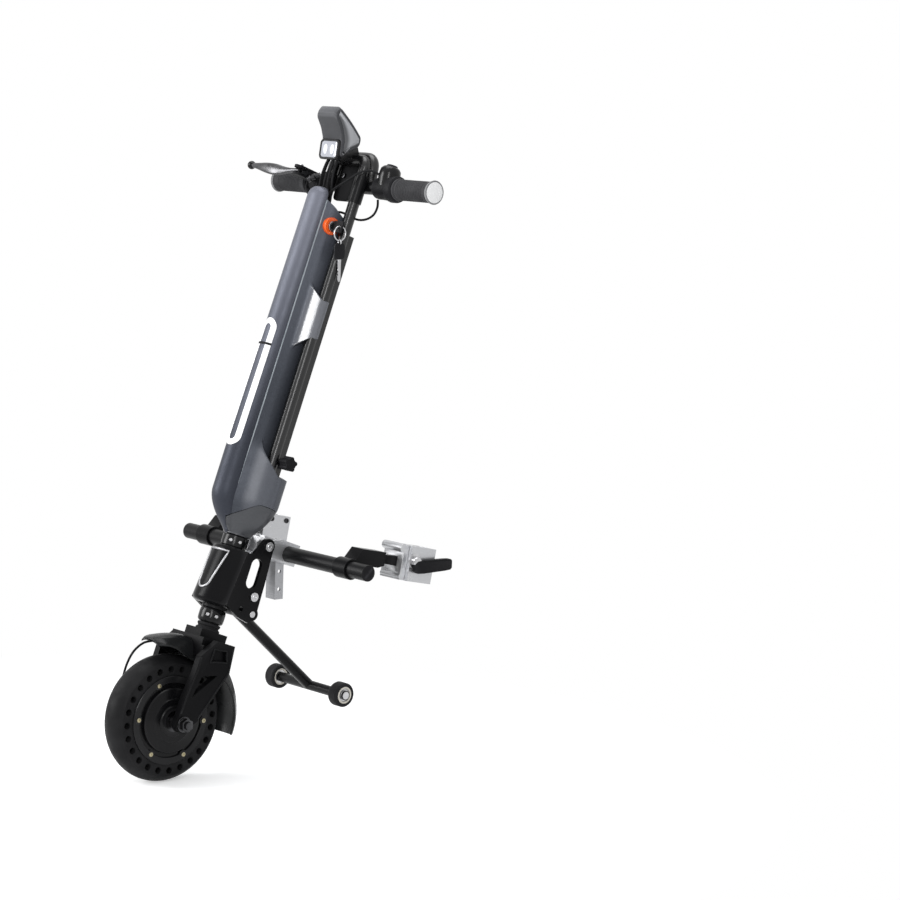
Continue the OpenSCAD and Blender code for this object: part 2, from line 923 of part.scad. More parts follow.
// Roller on the +X side, with a groove between its tread and its hub on each face
module roller() {
    translate([0, axle_line_v, axle_line_w]) difference() {
        rod_x(roller_r, roller_x, roller_x + roller_w);
        rod_x(roller_axle_r + running_gap, roller_x - overrun, roller_x + roller_w + overrun);
        for (face = [roller_x, roller_x + roller_w]) difference() {
            rod_x(roller_groove_r, face - roller_groove_w, face + roller_groove_w);
            rod_x(roller_groove_r - roller_groove_w, face - roller_w, face + roller_w);
        }
    }
}

module left_roller() {
    color(dark_grey) on_axis() roller();
}

module right_roller() {
    color(dark_grey) on_axis() on_side(-1) roller();
}

module crossbar() {
    color(black) on_dock() difference() {
        rod_x(bar_r, -bar_half, bar_half);
        rod_x(bar_bore_r, -bar_half - overrun, bar_half + overrun);
    }
}

// Outline of a carrier cheek, from the pivot eye to the saddle
module cheek_outline() {
    polygon([
        [pivot_v, cheek_high], [cheek_bend_v, cheek_high], [saddle_front, saddle_high], [saddle_back, saddle_high],
        [saddle_back, saddle_low], [saddle_front, saddle_low], [pivot_v, cheek_low]
    ]);
    translate([pivot_v, pivot_w]) circle(r = eye_r);
}

// Carrier with pivot eyes, cheeks, saddle and the bridge that joins the two sides
module carrier_bracket() {
    color(silver) on_axis() difference() {
        union() {
            for (side = [-1, 1]) on_side(side) {
                slab_x(cheek_in, cheek_out) cheek_outline();
                translate([0, pivot_v, pivot_w]) rod_x(eye_r, cheek_in, head_half - side_gap);
                translate([slot_half, saddle_front, saddle_low])
                    cube([cheek_out - slot_half, saddle_back - saddle_front, saddle_high - saddle_low]);
            }
            translate([-cheek_out, bridge_front, bridge_low])
                cube([2 * cheek_out, saddle_front - bridge_front, bridge_high - bridge_low]);
        }
        translate([0, bar_v, bar_w]) rod_x(bar_r + seat_gap, -cheek_out - overrun, cheek_out + overrun);
        translate([0, pivot_v, pivot_w]) rod_x(pivot_bolt_r + running_gap, -head_half, head_half);
    }
}

// Latch lever hanging straight down from the crossbar, a channel with a ring at its top
module latch_lever() {
    color(silver) on_axis() translate([0, bar_v, bar_w]) rotate([lean, 0, 0]) difference() {
        union() {
            rod_x(lever_ring_r, -lever_half, lever_half);
            translate([-lever_half, -lever_depth / 2, -lever_tail])
                cube([2 * lever_half, lever_depth, lever_tail]);
        }
        rod_x(bar_r + running_gap, -lever_half - overrun, lever_half + overrun);
        translate([-lever_half + lever_wall, -lever_depth / 2 + lever_wall, -lever_tail - overrun])
            cube([2 * (lever_half - lever_wall), lever_depth, lever_tail + overrun]);
        for (drop = lever_hole_drops)
            translate([0, 0, -drop]) rod_x(lever_hole_r, -lever_half - overrun, lever_half + overrun);
    }
}

// Dock arm on the +X side: a collar on the crossbar with a block and a tongue behind it
module dock_arm() {
    difference() {
        union() {
            rod_x(collar_r, arm_x - arm_w / 2, arm_x + arm_w / 2);
            slab_x(arm_x - arm_w / 2, arm_x + arm_w / 2)
                polygon(placed(arm_shares, [0, 0], [arm_reach, arm_top]));
            translate([arm_x - tongue_half, arm_reach - overrun, tongue_low])
                cube([2 * tongue_half, tongue_tip - arm_reach + overrun, tongue_high - tongue_low]);
        }
        rod_x(bar_r + seat_gap, arm_x - arm_w, arm_x + arm_w);
    }
}

module left_dock_arm() {
    color(black) on_dock() dock_arm();
}

module right_dock_arm() {
    color(black) on_dock() on_side(-1) dock_arm();
}

// Upright bore of a clamp for the frame tube
module frame_tube_space() {
    translate([clamp_tube_x, clamp_tube_y, clamp_low - overrun])
        cylinder(r = frame_tube_r, h = clamp_h + 2 * overrun);
}

// Bore of a clamp for its bolt
module clamp_bolt_space() {
    translate([0, clamp_bolt_y, clamp_bolt_z])
        rod_x(clamp_bolt_r + running_gap, clamp_bolt_in - pass_gap, clamp_out + overrun);
}

// Receiver on the +X side: horns, slotted flange and the inner half of the frame clamp
module receiver() {
    inner_face = clamp_tube_x - clamp_slit / 2;
    difference() {
        union() {
            translate([arm_x - flange_in, flange_front, clamp_low])
                cube([flange_in + flange_out, flange_back - flange_front, clamp_h]);
            translate([clamp_in, flange_back - overrun, clamp_low])
                cube([inner_face - clamp_in, clamp_back - flange_back + overrun, clamp_h]);
            translate([0, horn_y, horn_z]) rod_x(horn_r, arm_x - flange_in, arm_x + flange_out);
            translate([0, rod_y, rod_z]) rod_x(rod_r, arm_x - flange_in, arm_x + flange_out);
        }
        translate([arm_x - tongue_half - side_gap, flange_front - horn_r - overrun, tongue_low - side_gap])
            cube([
                2 * (tongue_half + side_gap),
                tongue_tip + side_gap - flange_front + horn_r + overrun,
                tongue_high - tongue_low + 2 * side_gap
            ]);
        frame_tube_space();
        clamp_bolt_space();
    }
}

module left_receiver() {
    color(silver) on_dock() receiver();
}

module right_receiver() {
    color(silver) on_dock() on_side(-1) receiver();
}

// Outer half of the frame clamp on the +X side
module clamp_cap() {
    inner_face = clamp_tube_x + clamp_slit / 2;
    difference() {
        translate([inner_face, flange_back + seat_gap, clamp_low])
            cube([clamp_out - inner_face, clamp_back - flange_back - seat_gap, clamp_h]);
        frame_tube_space();
        clamp_bolt_space();
    }
}

module left_clamp_cap() {
    color(silver) on_dock() clamp_cap();
}

module right_clamp_cap() {
    color(silver) on_dock() on_side(-1) clamp_cap();
}

// Clamp lever on the +X side: bolt, hub and handle pointing straight back
module clamp_lever() {
    base = clamp_out + side_gap;
    translate([0, clamp_bolt_y, clamp_bolt_z]) {
        rod_x(clamp_bolt_r, clamp_bolt_in, base);
        rod_x(clamp_hub_r, base, base + clamp_hub_h);
        rotate([dock_tilt, 0, 0]) {
            slab_x(base + clamp_handle_in, base + clamp_hub_h) polygon([
                [0, -clamp_handle_root], [clamp_handle_len, -clamp_handle_tip],
                [clamp_handle_len, clamp_handle_tip], [0, clamp_handle_root]
            ]);
            translate([0, clamp_handle_len, 0])
                rod_x(clamp_handle_tip, base + clamp_handle_in, base + clamp_hub_h);
        }
    }
}

module left_clamp_lever() {
    color(black) on_dock() clamp_lever();
}

module right_clamp_lever() {
    color(black) on_dock() on_side(-1) clamp_lever();
}

// Flared foot of the battery column, from the round neck to the widest outline
module foot_flare() {
    hull() {
        translate([0, 0, neck_top - slice_t]) cylinder(r = neck_r, h = slice_t);
        translate([0, -spine_v, case_bottom - slice_t]) cylinder(r = spine_r, h = slice_t);
        for (side = [-1, 1])
            translate([side * foot_x, foot_v, case_bottom - slice_t]) cylinder(r = foot_r, h = slice_t);
    }
}

// Space above the slanted seam between the column base and the battery
module above_seam() {
    front = spine_v + spine_r + overrun;
    back = foot_v + foot_r + overrun;
    seam_at_front = seam_front - seam_rise_share * (front - spine_v);
    seam_at_back = seam_front + seam_rise_share * (back + spine_v);
    reach = foot_x + foot_r + overrun;
    slab_x(-reach, reach) polygon([
        [-front, seam_at_front], [back, seam_at_back], [back, spine_top + spine_r], [-front, spine_top + spine_r]
    ]);
}

// Places of the two uprights
module at_uprights() {
    for (side = [-1, 1]) translate([side * upright_x, upright_v, 0]) children();
}

// Space that the uprights take in the pieces about them
module upright_space() {
    at_uprights() translate([0, 0, upright_bottom - seat_gap])
        cylinder(r = upright_r + seat_gap, h = bow_w - upright_bottom);
    translate([-rail_half - seat_gap, -rail_v - seat_gap, upright_bottom - seat_gap])
        cube([2 * (rail_half + seat_gap), rail_v + rail_back + 2 * seat_gap, bow_w - upright_bottom]);
}

module column_base() {
    color(black) on_axis() difference() {
        union() {
            foot_flare();
            translate([0, 0, neck_bottom]) cylinder(r = neck_r, h = neck_top - neck_bottom);
        }
        above_seam();
        upright_space();
        translate([0, 0, neck_bottom - overrun])
            cylinder(r = steerer_r + seat_gap, h = steerer_top + seat_gap - neck_bottom + overrun);
    }
}

// Plan of the battery case as [x, back]
module case_plan() {
    polygon([
        [-spine_chord, -split_v], [spine_chord, -split_v], [case_half, -split_v + case_step], [case_half, -rail_v],
        [-case_half, -rail_v], [-case_half, -split_v + case_step]
    ]);
}

// Plan of the cheeks that hold the uprights
module cheek_plan() {
    for (side = [-1, 1]) mirror([side < 0 ? 1 : 0, 0]) {
        translate([upright_x, upright_v]) circle(r = cheek_r);
        polygon([
            [0, -cheek_front_v], [case_half, -cheek_front_v], [upright_x + cheek_nose[0], upright_v - cheek_nose[1]],
            [upright_x, -rail_v], [0, -rail_v]
        ]);
    }
}

// Wide lower block of the battery, with a top that slants down to the back
module lower_block() {
    back = foot_v + foot_r + overrun;
    reach = foot_x + foot_r + overrun;
    difference() {
        hull() {
            translate([-spine_chord, -split_v, case_bottom])
                cube([2 * spine_chord, slice_t, block_top - case_bottom]);
            for (side = [-1, 1])
                translate([side * foot_x, foot_v, case_bottom]) cylinder(r = foot_r, h = block_top - case_bottom);
        }
        slab_x(-reach, reach) polygon([
            [-split_v, block_top], [back, block_top - block_drop_share * (back + split_v)],
            [back, block_top + overrun], [-split_v, block_top + overrun]
        ]);
    }
}

// Frame of the key switch: x backward along the case, y up, z out of its side
module on_lock() {
    translate([case_half, -lock_v, lock_w]) rotate([90, 0, 90]) children();
}

// Room for the key switch in the pieces about it
module lock_space() {
    on_lock() {
        translate([0, 0, -lock_seat_d]) cylinder(r = lock_ring_r + seat_gap, h = 2 * lock_ring_r);
        translate([0, 0, -lock_barrel_in]) cylinder(r = lock_barrel_r + seat_gap, h = 2 * lock_ring_r);
    }
}

// Hole in the top of the battery case where a cable goes in
module gland(route) {
    translate(route[len(route) - 1]) translate([0, 0, -seat_gap]) cylinder(r = gland_r, h = gland_d + spine_r);
}

module battery_case() {
    color(dark_grey) on_axis() difference() {
        union() {
            difference() {
                translate([0, 0, case_bottom]) linear_extrude(height = top_front - case_bottom) case_plan();
                slab_x(-upright_x, upright_x) polygon([
                    [-split_v, top_front], [0, top_front - top_drop_share * split_v],
                    [0, top_front + overrun], [-split_v, top_front + overrun]
                ]);
            }
            lower_block();
            translate([0, 0, upper_cheek_low])
                linear_extrude(height = upper_cheek_top - upper_cheek_low) cheek_plan();
            intersection() {
                foot_flare();
                above_seam();
            }
        }
        upright_space();
        translate([-pack_half, -pack_front, pack_bottom])
            cube([2 * pack_half, pack_front - pack_back, pack_top - pack_bottom]);
        lock_space();
        gland(brake_route);
        gland(throttle_route);
        gland(display_route);
    }
}

// Rounded front of the battery, with a domed top
module spine_body() {
    intersection() {
        translate([0, -spine_v, 0]) union() {
            translate([0, 0, case_bottom]) cylinder(r = spine_r, h = spine_top - case_bottom);
            translate([0, 0, spine_top]) sphere(r = spine_r);
        }
        translate([-spine_r, -spine_v - spine_r, case_bottom])
            cube([2 * spine_r, spine_v + spine_r - split_v - seat_gap, spine_top + spine_r - case_bottom]);
    }
}

// Long loop outline as [x, up], at a half width
module loop_outline(half) {
    low = light_bottom + light_outer;
    high = light_top - light_outer;
    translate([-half, low]) square([2 * half, high - low]);
    for (height = [low, high]) translate([0, height]) circle(r = half);
}

// Loop of the light, cut to a depth in the spine and standing a little proud of it
module light_loop(gap, depth, proud) {
    intersection() {
        translate([0, -spine_v, light_bottom - overrun]) difference() {
            cylinder(r = spine_r + proud, h = light_top - light_bottom + 2 * overrun);
            cylinder(r = spine_r - depth, h = light_top - light_bottom + 2 * overrun);
        }
        translate([0, -spine_v, 0]) rotate([90, 0, 0])
            linear_extrude(height = spine_r + proud + overrun) difference() {
                loop_outline(light_outer + gap);
                loop_outline(light_inner - gap);
            }
    }
}

module battery_spine() {
    color(dark_grey) on_axis() difference() {
        spine_body();
        light_loop(seat_gap, light_depth + seat_gap, overrun);
        lock_space();
    }
}

module light_strip() {
    color(white) on_axis() light_loop(0, light_depth, light_proud);
}

module battery_pack() {
    color(steel) on_axis() translate([-pack_half + pack_gap, -pack_front + pack_gap, pack_bottom + seat_gap])
        cube([
            2 * (pack_half - pack_gap), pack_front - pack_back - 2 * pack_gap, pack_top - pack_bottom - pack_gap
        ]);
}

module lock_ring() {
    color(orange) on_axis() on_lock() difference() {
        translate([0, 0, -lock_seat_d + seat_gap])
            cylinder(r = lock_ring_r, h = lock_seat_d + lock_ring_out - seat_gap);
        translate([0, 0, -lock_seat_d - overrun])
            cylinder(r = lock_barrel_r + seat_gap, h = lock_seat_d + lock_ring_out + 2 * overrun);
    }
}

// Barrel of the key switch, with a round bore that the key turns in
module lock_barrel() {
    color(silver) on_axis() on_lock() difference() {
        translate([0, 0, -lock_barrel_in + seat_gap])
            cylinder(r = lock_barrel_r, h = lock_barrel_in + lock_barrel_out - seat_gap);
        translate([0, 0, lock_barrel_out - key_blade_in - key_gap])
            cylinder(r = key_slot_w / 2 + running_gap, h = key_blade_in + key_gap + overrun);
    }
}

// Key with a round shank in the barrel and a flat head with a hole
module key() {
    head_low = lock_barrel_out + key_gap;
    color(black) on_axis() on_lock() difference() {
        union() {
            translate([0, 0, lock_barrel_out - key_blade_in])
                cylinder(r = key_slot_w / 2, h = key_blade_in + key_gap);
            translate([-key_head_t / 2, -key_head_half, head_low])
                cube([key_head_t, 2 * key_head_half, key_head_out]);
        }
        translate([0, 0, head_low + key_hole_share * key_head_out])
            rod_x(key_hole_r, -key_head_t, key_head_t);
    }
}

// Round wire ring in the x-y plane
module wire_ring(r, wire) {
    rotate_extrude() translate([r, 0]) circle(r = wire);
}

// Ring through the key's hole, with a spare key hanging straight down from it
module spare_key() {
    hole_out = lock_barrel_out + key_gap + key_hole_share * key_head_out;
    ring_drop = key_ring_r - key_ring_seat;
    eye_drop = ring_drop + key_ring_r + spare_eye_r - spare_eye_wire - key_wire_r - key_gap;
    head_drop = eye_drop + spare_eye_r;
    color(steel) on_axis() on_lock() translate([0, 0, hole_out]) rotate([0, 0, lean]) {
        translate([0, -ring_drop, 0]) wire_ring(key_ring_r, key_wire_r);
        translate([0, -eye_drop, 0]) rotate([0, 90, 0]) wire_ring(spare_eye_r, spare_eye_wire);
        translate([-spare_head_half, -head_drop - spare_head_h, -spare_t / 2])
            cube([2 * spare_head_half, spare_head_h, spare_t]);
        translate([-spare_blade_half, -head_drop - spare_head_h - spare_blade_h, -spare_t / 2])
            cube([2 * spare_blade_half, spare_blade_h + overrun, spare_t]);
    }
}

// Bent upright tube at a radius, without its inside
module upright_run(r, bottom) {
    bend_x = upright_x - bow_bend_r;
    bend_w = bow_w - bow_bend_r;
    translate([0, upright_v, 0]) {
        for (side = [-1, 1]) on_side(side) {
            translate([upright_x, 0, bottom]) cylinder(r = r, h = bend_w - bottom);
            translate([bend_x, 0, bend_w]) rotate([90, 0, 0]) rotate_extrude(angle = 90)
                translate([bow_bend_r, 0]) circle(r = r);
        }
        translate([0, 0, bow_w]) rod_x(r, -bend_x, bend_x);
    }
}

// Side outline of the display
module display_outline() {
    polygon(placed(display_shares, display_corner, display_span));
}

// Bent tube frame with the rail behind the battery and the bracket that carries the display
module upright_frame() {
    color(black) on_axis() difference() {
        union() {
            upright_run(upright_r, upright_bottom);
            translate([-rail_half, -rail_v, upright_bottom])
                cube([2 * rail_half, rail_v + rail_back, rail_top - upright_bottom]);
            difference() {
                slab_x(-bracket_half, bracket_half) polygon(placed(bracket_shares, bracket_corner, bracket_span));
                slab_x(-display_half, display_half) display_outline();
            }
        }
        upright_run(upright_bore_r, upright_bottom - overrun);
        for (side = [-1, 1]) on_side(side) translate([0, knob_v, knob_w])
            rod_x(knob_screw_r + running_gap, rail_half - knob_screw_in - pass_gap, rail_half + overrun);
    }
}

// Clamp knob on the +X side, with lobes about its head
module knob() {
    base = rail_half + side_gap;
    translate([0, knob_v, knob_w]) {
        rod_x(knob_screw_r, rail_half - knob_screw_in, base);
        rod_x(knob_neck_r, base, base + knob_neck_h);
        slab_x(base + knob_neck_h, base + knob_neck_h + knob_h) {
            circle(r = knob_r);
            for (i = [0 : knob_lobes - 1]) rotate(knob_turn + 360 * i / knob_lobes)
                translate([knob_lobe_at, 0]) circle(r = knob_lobe_r);
        }
    }
}

module left_knob() {
    color(black) on_axis() knob();
}

module right_knob() {
    color(black) on_axis() on_side(-1) knob();
}

// Two bar stubs, each with the sleeve that holds it on an upright
module handlebar() {
    color(black) on_axis() for (side = [-1, 1]) on_side(side) difference() {
        union() {
            translate([upright_x, upright_v, sleeve_bottom])
                cylinder(r = sleeve_r, h = sleeve_top - sleeve_bottom);
            translate([0, handle_v, handle_w]) rod_x(stub_r, upright_x - stub_root, handle_half);
        }
        translate([upright_x, upright_v, sleeve_bottom - overrun])
            cylinder(r = upright_r + seat_gap, h = sleeve_top - sleeve_bottom + 2 * overrun);
        translate([0, handle_v, handle_w]) rod_x(stub_bore_r, upright_x + sleeve_r, handle_half + overrun);
    }
}

// Grip on the +X side with a flange at its inner end
module grip(start, gap) {
    translate([0, handle_v, handle_w]) difference() {
        union() {
            rod_x(grip_r, start, handle_half);
            rod_x(grip_flange_r, start, start + grip_flange_t);
        }
        rod_x(stub_r + gap, start - overrun, handle_half + overrun);
    }
}

module right_grip() {
    color(rubber_black) on_axis() on_side(-1) grip(right_grip_start, seat_gap);
}

module throttle_grip() {
    color(rubber_black) on_axis() grip(grip_start, running_gap);
}

module throttle_housing() {
    color(black) on_axis() difference() {
        union() {
            translate([0, handle_v, handle_w]) rod_x(throttle_r, throttle_in, throttle_out);
            translate([pod_x, pod_v, handle_w]) cylinder(r = pod_r, h = pod_top - handle_w);
        }
        translate([0, handle_v, handle_w])
            rod_x(stub_r + seat_gap, throttle_in - overrun, throttle_out + overrun);
        translate([pod_x, pod_v, pod_top - button_pocket])
            cylinder(r = button_r + running_gap, h = button_pocket + overrun);
    }
}

module pod_button() {
    color(dark_grey) on_axis() translate([pod_x, pod_v, pod_top + button_out - button_h])
        cylinder(r = button_r, h = button_h);
}

// Clamp on the bar with two ears and the pin of the brake lever
module brake_bracket() {
    color(black) on_axis() difference() {
        union() {
            translate([0, handle_v, handle_w]) rod_x(perch_r, -perch_out, -perch_in);
            for (step = [-1, 1])
                translate([-lever_pivot_x, -lever_pivot_v, lever_pivot_w])
                    translate([0, 0, step * (lever_hub_h + lever_ear_t) / 2]) {
                    cylinder(r = lever_ear_r, h = lever_ear_t, center = true);
                    translate([-lever_ear_r, 0, -lever_ear_t / 2])
                        cube([2 * lever_ear_r, lever_pivot_v + handle_v, lever_ear_t]);
                }
            translate([-lever_pivot_x, -lever_pivot_v, lever_pivot_w])
                cylinder(r = lever_pin_r, h = lever_hub_h + lever_ear_t, center = true);
        }
        translate([0, handle_v, handle_w])
            rod_x(stub_r + seat_gap, -lever_pivot_x - 2 * lever_ear_r, -perch_in + overrun);
    }
}

// Lever blade with a ball at its tip, on the right side
module brake_lever() {
    thick = lever_hub_h - 2 * side_gap;
    color(black) on_axis() difference() {
        union() {
            translate([-lever_pivot_x, -lever_pivot_v, lever_pivot_w])
                cylinder(r = lever_root_half + lever_pin_r - side_gap, h = thick, center = true);
            translate([0, 0, lever_pivot_w - thick / 2]) linear_extrude(height = thick) polygon([
                [-lever_pivot_x, -lever_pivot_v - lever_root_half], [-lever_tip_x, -lever_tip_v - lever_tip_half],
                [-lever_tip_x, -lever_tip_v + lever_tip_half], [-lever_pivot_x, -lever_pivot_v + lever_root_half]
            ]);
            translate([-lever_tip_x, -lever_tip_v, lever_pivot_w]) sphere(r = lever_ball_r);
        }
        translate([-lever_pivot_x, -lever_pivot_v, lever_pivot_w])
            cylinder(r = lever_pin_r + running_gap, h = 2 * lever_hub_h, center = true);
    }
}

// Frame on an edge of the display outline: x across, y along the edge, z out of the face
module on_display_edge(from, to) {
    points = placed(display_shares, display_corner, display_span);
    run = points[to] - points[from];
    translate([0, points[from][0], points[from][1]]) rotate([atan2(run[1], run[0]), 0, 0]) children();
}

// Length of an edge of the display outline
function display_edge(from, to) =
    let (points = placed(display_shares, display_corner, display_span))
    norm(points[to] - points[from]);

// Screen plate in the sloping top face
module screen_plate(gap) {
    length = display_edge(1, 2) - 2 * screen_margin;
    on_display_edge(1, 2) translate([-screen_half - gap, screen_margin - gap, -screen_t - gap])
        cube([2 * (screen_half + gap), length + 2 * gap, screen_t + gap]);
}

// Lens plate in the front face
module lens_plate(gap) {
    length = display_edge(7, 6) - 2 * lens_margin;
    on_display_edge(7, 6) translate([-lens_half - gap, lens_margin - gap, -gap])
        cube([2 * (lens_half + gap), length + 2 * gap, lens_t + gap]);
}

module display_housing() {
    color(black) on_axis() difference() {
        slab_x(-display_half, display_half) display_outline();
        screen_plate(seat_gap);
        lens_plate(seat_gap);
        on_display_edge(1, 2) translate([-screen_half, screen_margin, -seat_gap])
            cube([2 * screen_half, display_edge(1, 2) - 2 * screen_margin, overrun]);
    }
}

module display_screen() {
    color("#0d1013") on_axis() screen_plate(0);
}

module headlamp_lens() {
    color(white) on_axis() lens_plate(0);
}

module motor_cable() {
    color(black) on_axis() cable(motor_route, [0, 0, 1]);
}

module brake_cable() {
    color(black) on_axis() cable(brake_route, [0, 1, 0]);
}

module throttle_cable() {
    color(black) on_axis() cable(throttle_route, [0, 1, 0]);
}

module display_cable() {
    color(black) on_axis() cable(display_route, [1, 0, 0]);
}

tyre();
hub_shell();
hub_cover();
hub_screws();
wheel_bearings();
motor_axle();
axle_nuts();
fork();
clamp_rings();
ring_screws();
front_fender();
rear_fender();
head_housing();
front_trim();
left_side_plate();
right_side_plate();
head_bearings();
carrier_pivot_bolts();
latch_pin();
stand_pivot_pin();
stand_leg();
left_roller();
right_roller();
crossbar();
carrier_bracket();
latch_lever();
left_dock_arm();
right_dock_arm();
left_receiver();
right_receiver();
left_clamp_cap();
right_clamp_cap();
left_clamp_lever();
right_clamp_lever();
column_base();
battery_case();
battery_spine();
light_strip();
battery_pack();
lock_ring();
lock_barrel();
key();
spare_key();
upright_frame();
left_knob();
right_knob();
handlebar();
right_grip();
throttle_housing();
throttle_grip();
pod_button();
brake_bracket();
brake_lever();
display_housing();
display_screen();
headlamp_lens();
motor_cable();
brake_cable();
throttle_cable();
display_cable();
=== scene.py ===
import json
import math

import bmesh
import bpy
import numpy as np
from mathutils import Matrix, Vector


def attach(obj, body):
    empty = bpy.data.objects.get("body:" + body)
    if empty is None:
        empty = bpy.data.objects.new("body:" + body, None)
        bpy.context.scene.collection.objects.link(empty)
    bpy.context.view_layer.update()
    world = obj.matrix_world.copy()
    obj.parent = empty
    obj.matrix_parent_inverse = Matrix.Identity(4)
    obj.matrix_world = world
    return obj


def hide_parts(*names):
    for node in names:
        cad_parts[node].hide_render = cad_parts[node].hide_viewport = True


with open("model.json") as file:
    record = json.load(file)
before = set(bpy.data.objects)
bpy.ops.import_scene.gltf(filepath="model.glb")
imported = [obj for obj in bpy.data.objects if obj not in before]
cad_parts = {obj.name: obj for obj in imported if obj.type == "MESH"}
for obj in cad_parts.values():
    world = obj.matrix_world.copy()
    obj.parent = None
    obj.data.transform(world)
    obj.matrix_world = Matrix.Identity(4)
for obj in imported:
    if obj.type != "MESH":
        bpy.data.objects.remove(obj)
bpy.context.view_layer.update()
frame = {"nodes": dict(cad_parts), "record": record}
NODES = frame["nodes"]
BODY_OF = {node: body for body, nodes in frame["record"]["behaviour"]["bodies"].items() for node in nodes}


def shift(x, y, z):
    return Matrix.Translation((x, y, z))


def spin(angle, axis):
    return Matrix.Rotation(angle, 4, axis)


def full_turn(count):
    """Angles spread evenly round a circle."""
    return np.linspace(0, 2 * math.pi, count, endpoint=False)


def add_object(name, data):
    thing = bpy.data.objects.new(name, data)
    bpy.context.scene.collection.objects.link(thing)
    return thing


# Frames in millimetres, scaled to metres: at the axle, along the steering axis and at the dock
MM = 0.001
LEAN = math.radians(20)
DOCK_TILT = math.radians(11)
WHEEL_R = 97.5
FORK_OFFSET = 33.4
BAR_BACK = 81
BAR_UP = 295
AXLE = Matrix.Scale(MM, 4) @ shift(0, 0, WHEEL_R)
STEER = AXLE @ spin(-LEAN, "X") @ shift(0, FORK_OFFSET, 0)
DOCK = STEER @ shift(0, BAR_BACK, BAR_UP) @ spin(LEAN - DOCK_TILT, "X")
SIDES = (("left", 1), ("right", -1))

# Camera
CAMERA_AT = (3.4762, -2.4611, 1.0647)
AZIMUTH = math.radians(49.01)
ELEVATION = math.radians(7.31)
ROLL = math.radians(2.04)
LENS_MM = 114.24
SENSOR_MM = 36
CAMERA_REACH = 50


def make_camera():
    level = math.cos(ELEVATION)
    back = Vector((math.sin(AZIMUTH) * level, -math.cos(AZIMUTH) * level, math.sin(ELEVATION)))
    right = Vector((math.cos(AZIMUTH), math.sin(AZIMUTH), 0))
    up = right.cross(-back)
    right_rolled = right * math.cos(ROLL) + up * math.sin(ROLL)
    up_rolled = up * math.cos(ROLL) - right * math.sin(ROLL)
    data = bpy.data.cameras.new("camera")
    data.lens = LENS_MM
    data.sensor_width = SENSOR_MM
    data.clip_end = CAMERA_REACH
    camera = add_object("camera", data)
    turn = Matrix((right_rolled, up_rolled, back)).transposed().to_4x4()
    camera.matrix_world = shift(*CAMERA_AT) @ turn
    bpy.context.scene.camera = camera


make_camera()


# Materials; the mix node keeps its colour sockets at these places
MIX_FIRST = 6
MIX_SECOND = 7
MIX_RESULT = 2


def joined(tree, kind, *outs, **settings):
    """Outputs of a new node with its settings, whose first inputs are joined to the given outputs."""
    node = tree.nodes.new(kind)
    for key, value in settings.items():
        setattr(node, key, value)
    for out, into in zip(outs, node.inputs):
        tree.links.new(out, into)
    return node.outputs


class Shader:
    """A material with a Principled shader and short ways to add nodes to it."""

    def __init__(self, name, **values):
        self.material = bpy.data.materials.new(name)
        self.material.use_nodes = True
        self.tree = self.material.node_tree
        self.shader = self.tree.nodes["Principled BSDF"]
        self.place = self.add("ShaderNodeTexCoord")["Object"]
        self.feed(self.shader, **values)

    def feed(self, node, **sources):
        """Gives each named input its value, or joins it to an output."""
        for key, source in sources.items():
            socket = node.inputs[key.replace("_", " ")]
            if isinstance(source, bpy.types.NodeSocket):
                self.tree.links.new(source, socket)
            else:
                socket.default_value = source

    def add(self, kind, **sources):
        """Outputs of a new node with the given inputs."""
        node = self.tree.nodes.new(kind)
        self.feed(node, **sources)
        return node.outputs

    def noise(self, scale, detail=3.0, stretch=None):
        place = self.place
        if stretch:
            place = self.add("ShaderNodeMapping", Scale=stretch, Vector=place)["Vector"]
        return self.add("ShaderNodeTexNoise", Scale=scale, Detail=detail, Vector=place)["Fac"]

    def cells(self, scale, output):
        return self.add("ShaderNodeTexVoronoi", Scale=scale, Vector=self.place)[output]

    def axes(self):
        return self.add("ShaderNodeSeparateXYZ", Vector=self.place)

    def ranged(self, value, low, high, start=0.3, end=0.7):
        """A value carried over from the range of start and end to that of low and high."""
        return self.add("ShaderNodeMapRange", Value=value, From_Min=start, From_Max=end, To_Min=low,
                        To_Max=high)["Result"]

    def mix(self, factor, first, second):
        """Two colours mixed by a factor."""
        node = self.tree.nodes.new("ShaderNodeMix")
        node.data_type = "RGBA"
        self.feed(node, Factor=factor)
        for socket, colour in ((MIX_FIRST, first), (MIX_SECOND, second)):
            if isinstance(colour, tuple):
                node.inputs[socket].default_value = (*colour, 1)
            else:
                self.tree.links.new(colour, node.inputs[socket])
        return node.outputs[MIX_RESULT]

    def flakes(self):
        """Fine flakes of metallic paint, as a share."""
        return self.ranged(self.cells(2600, "Color"), 0, 1, start=0.2, end=0.9)

    def edges(self):
        """Share of painted edge highlight, from how sharply the surface is bent outward."""
        return self.ranged(self.add("ShaderNodeNewGeometry")["Pointiness"], 0, 1, start=0.52, end=0.6)

    def colour(self, out):
        self.feed(self.shader, Base_Color=out)

    def mottled(self, dark, light, scale, detail=3.0):
        """Two colours mixed by noise."""
        return self.mix(self.ranged(self.noise(scale, detail), 0, 1), dark, light)

    def rough(self, scale, low, high):
        self.feed(self.shader, Roughness=self.ranged(self.noise(scale), low, high))

    def bump(self, height, strength, distance):
        normal = self.add("ShaderNodeBump", Strength=strength, Distance=distance, Height=height)["Normal"]
        self.feed(self.shader, Normal=normal)


def black_coat(name, rough, shine):
    s = Shader(name, Specular_IOR_Level=shine)
    tint = s.mottled((0.0030, 0.0030, 0.0035), (0.0050, 0.0050, 0.0056), scale=9)
    # Painted highlight: sharp outward edges get a lighter grey.
    s.colour(s.mix(s.edges(), tint, (0.018, 0.018, 0.019)))
    s.rough(14, rough - 0.03, rough + 0.03)
    s.bump(s.noise(1400, detail=2), strength=0.04, distance=0.0003)
    return s.material


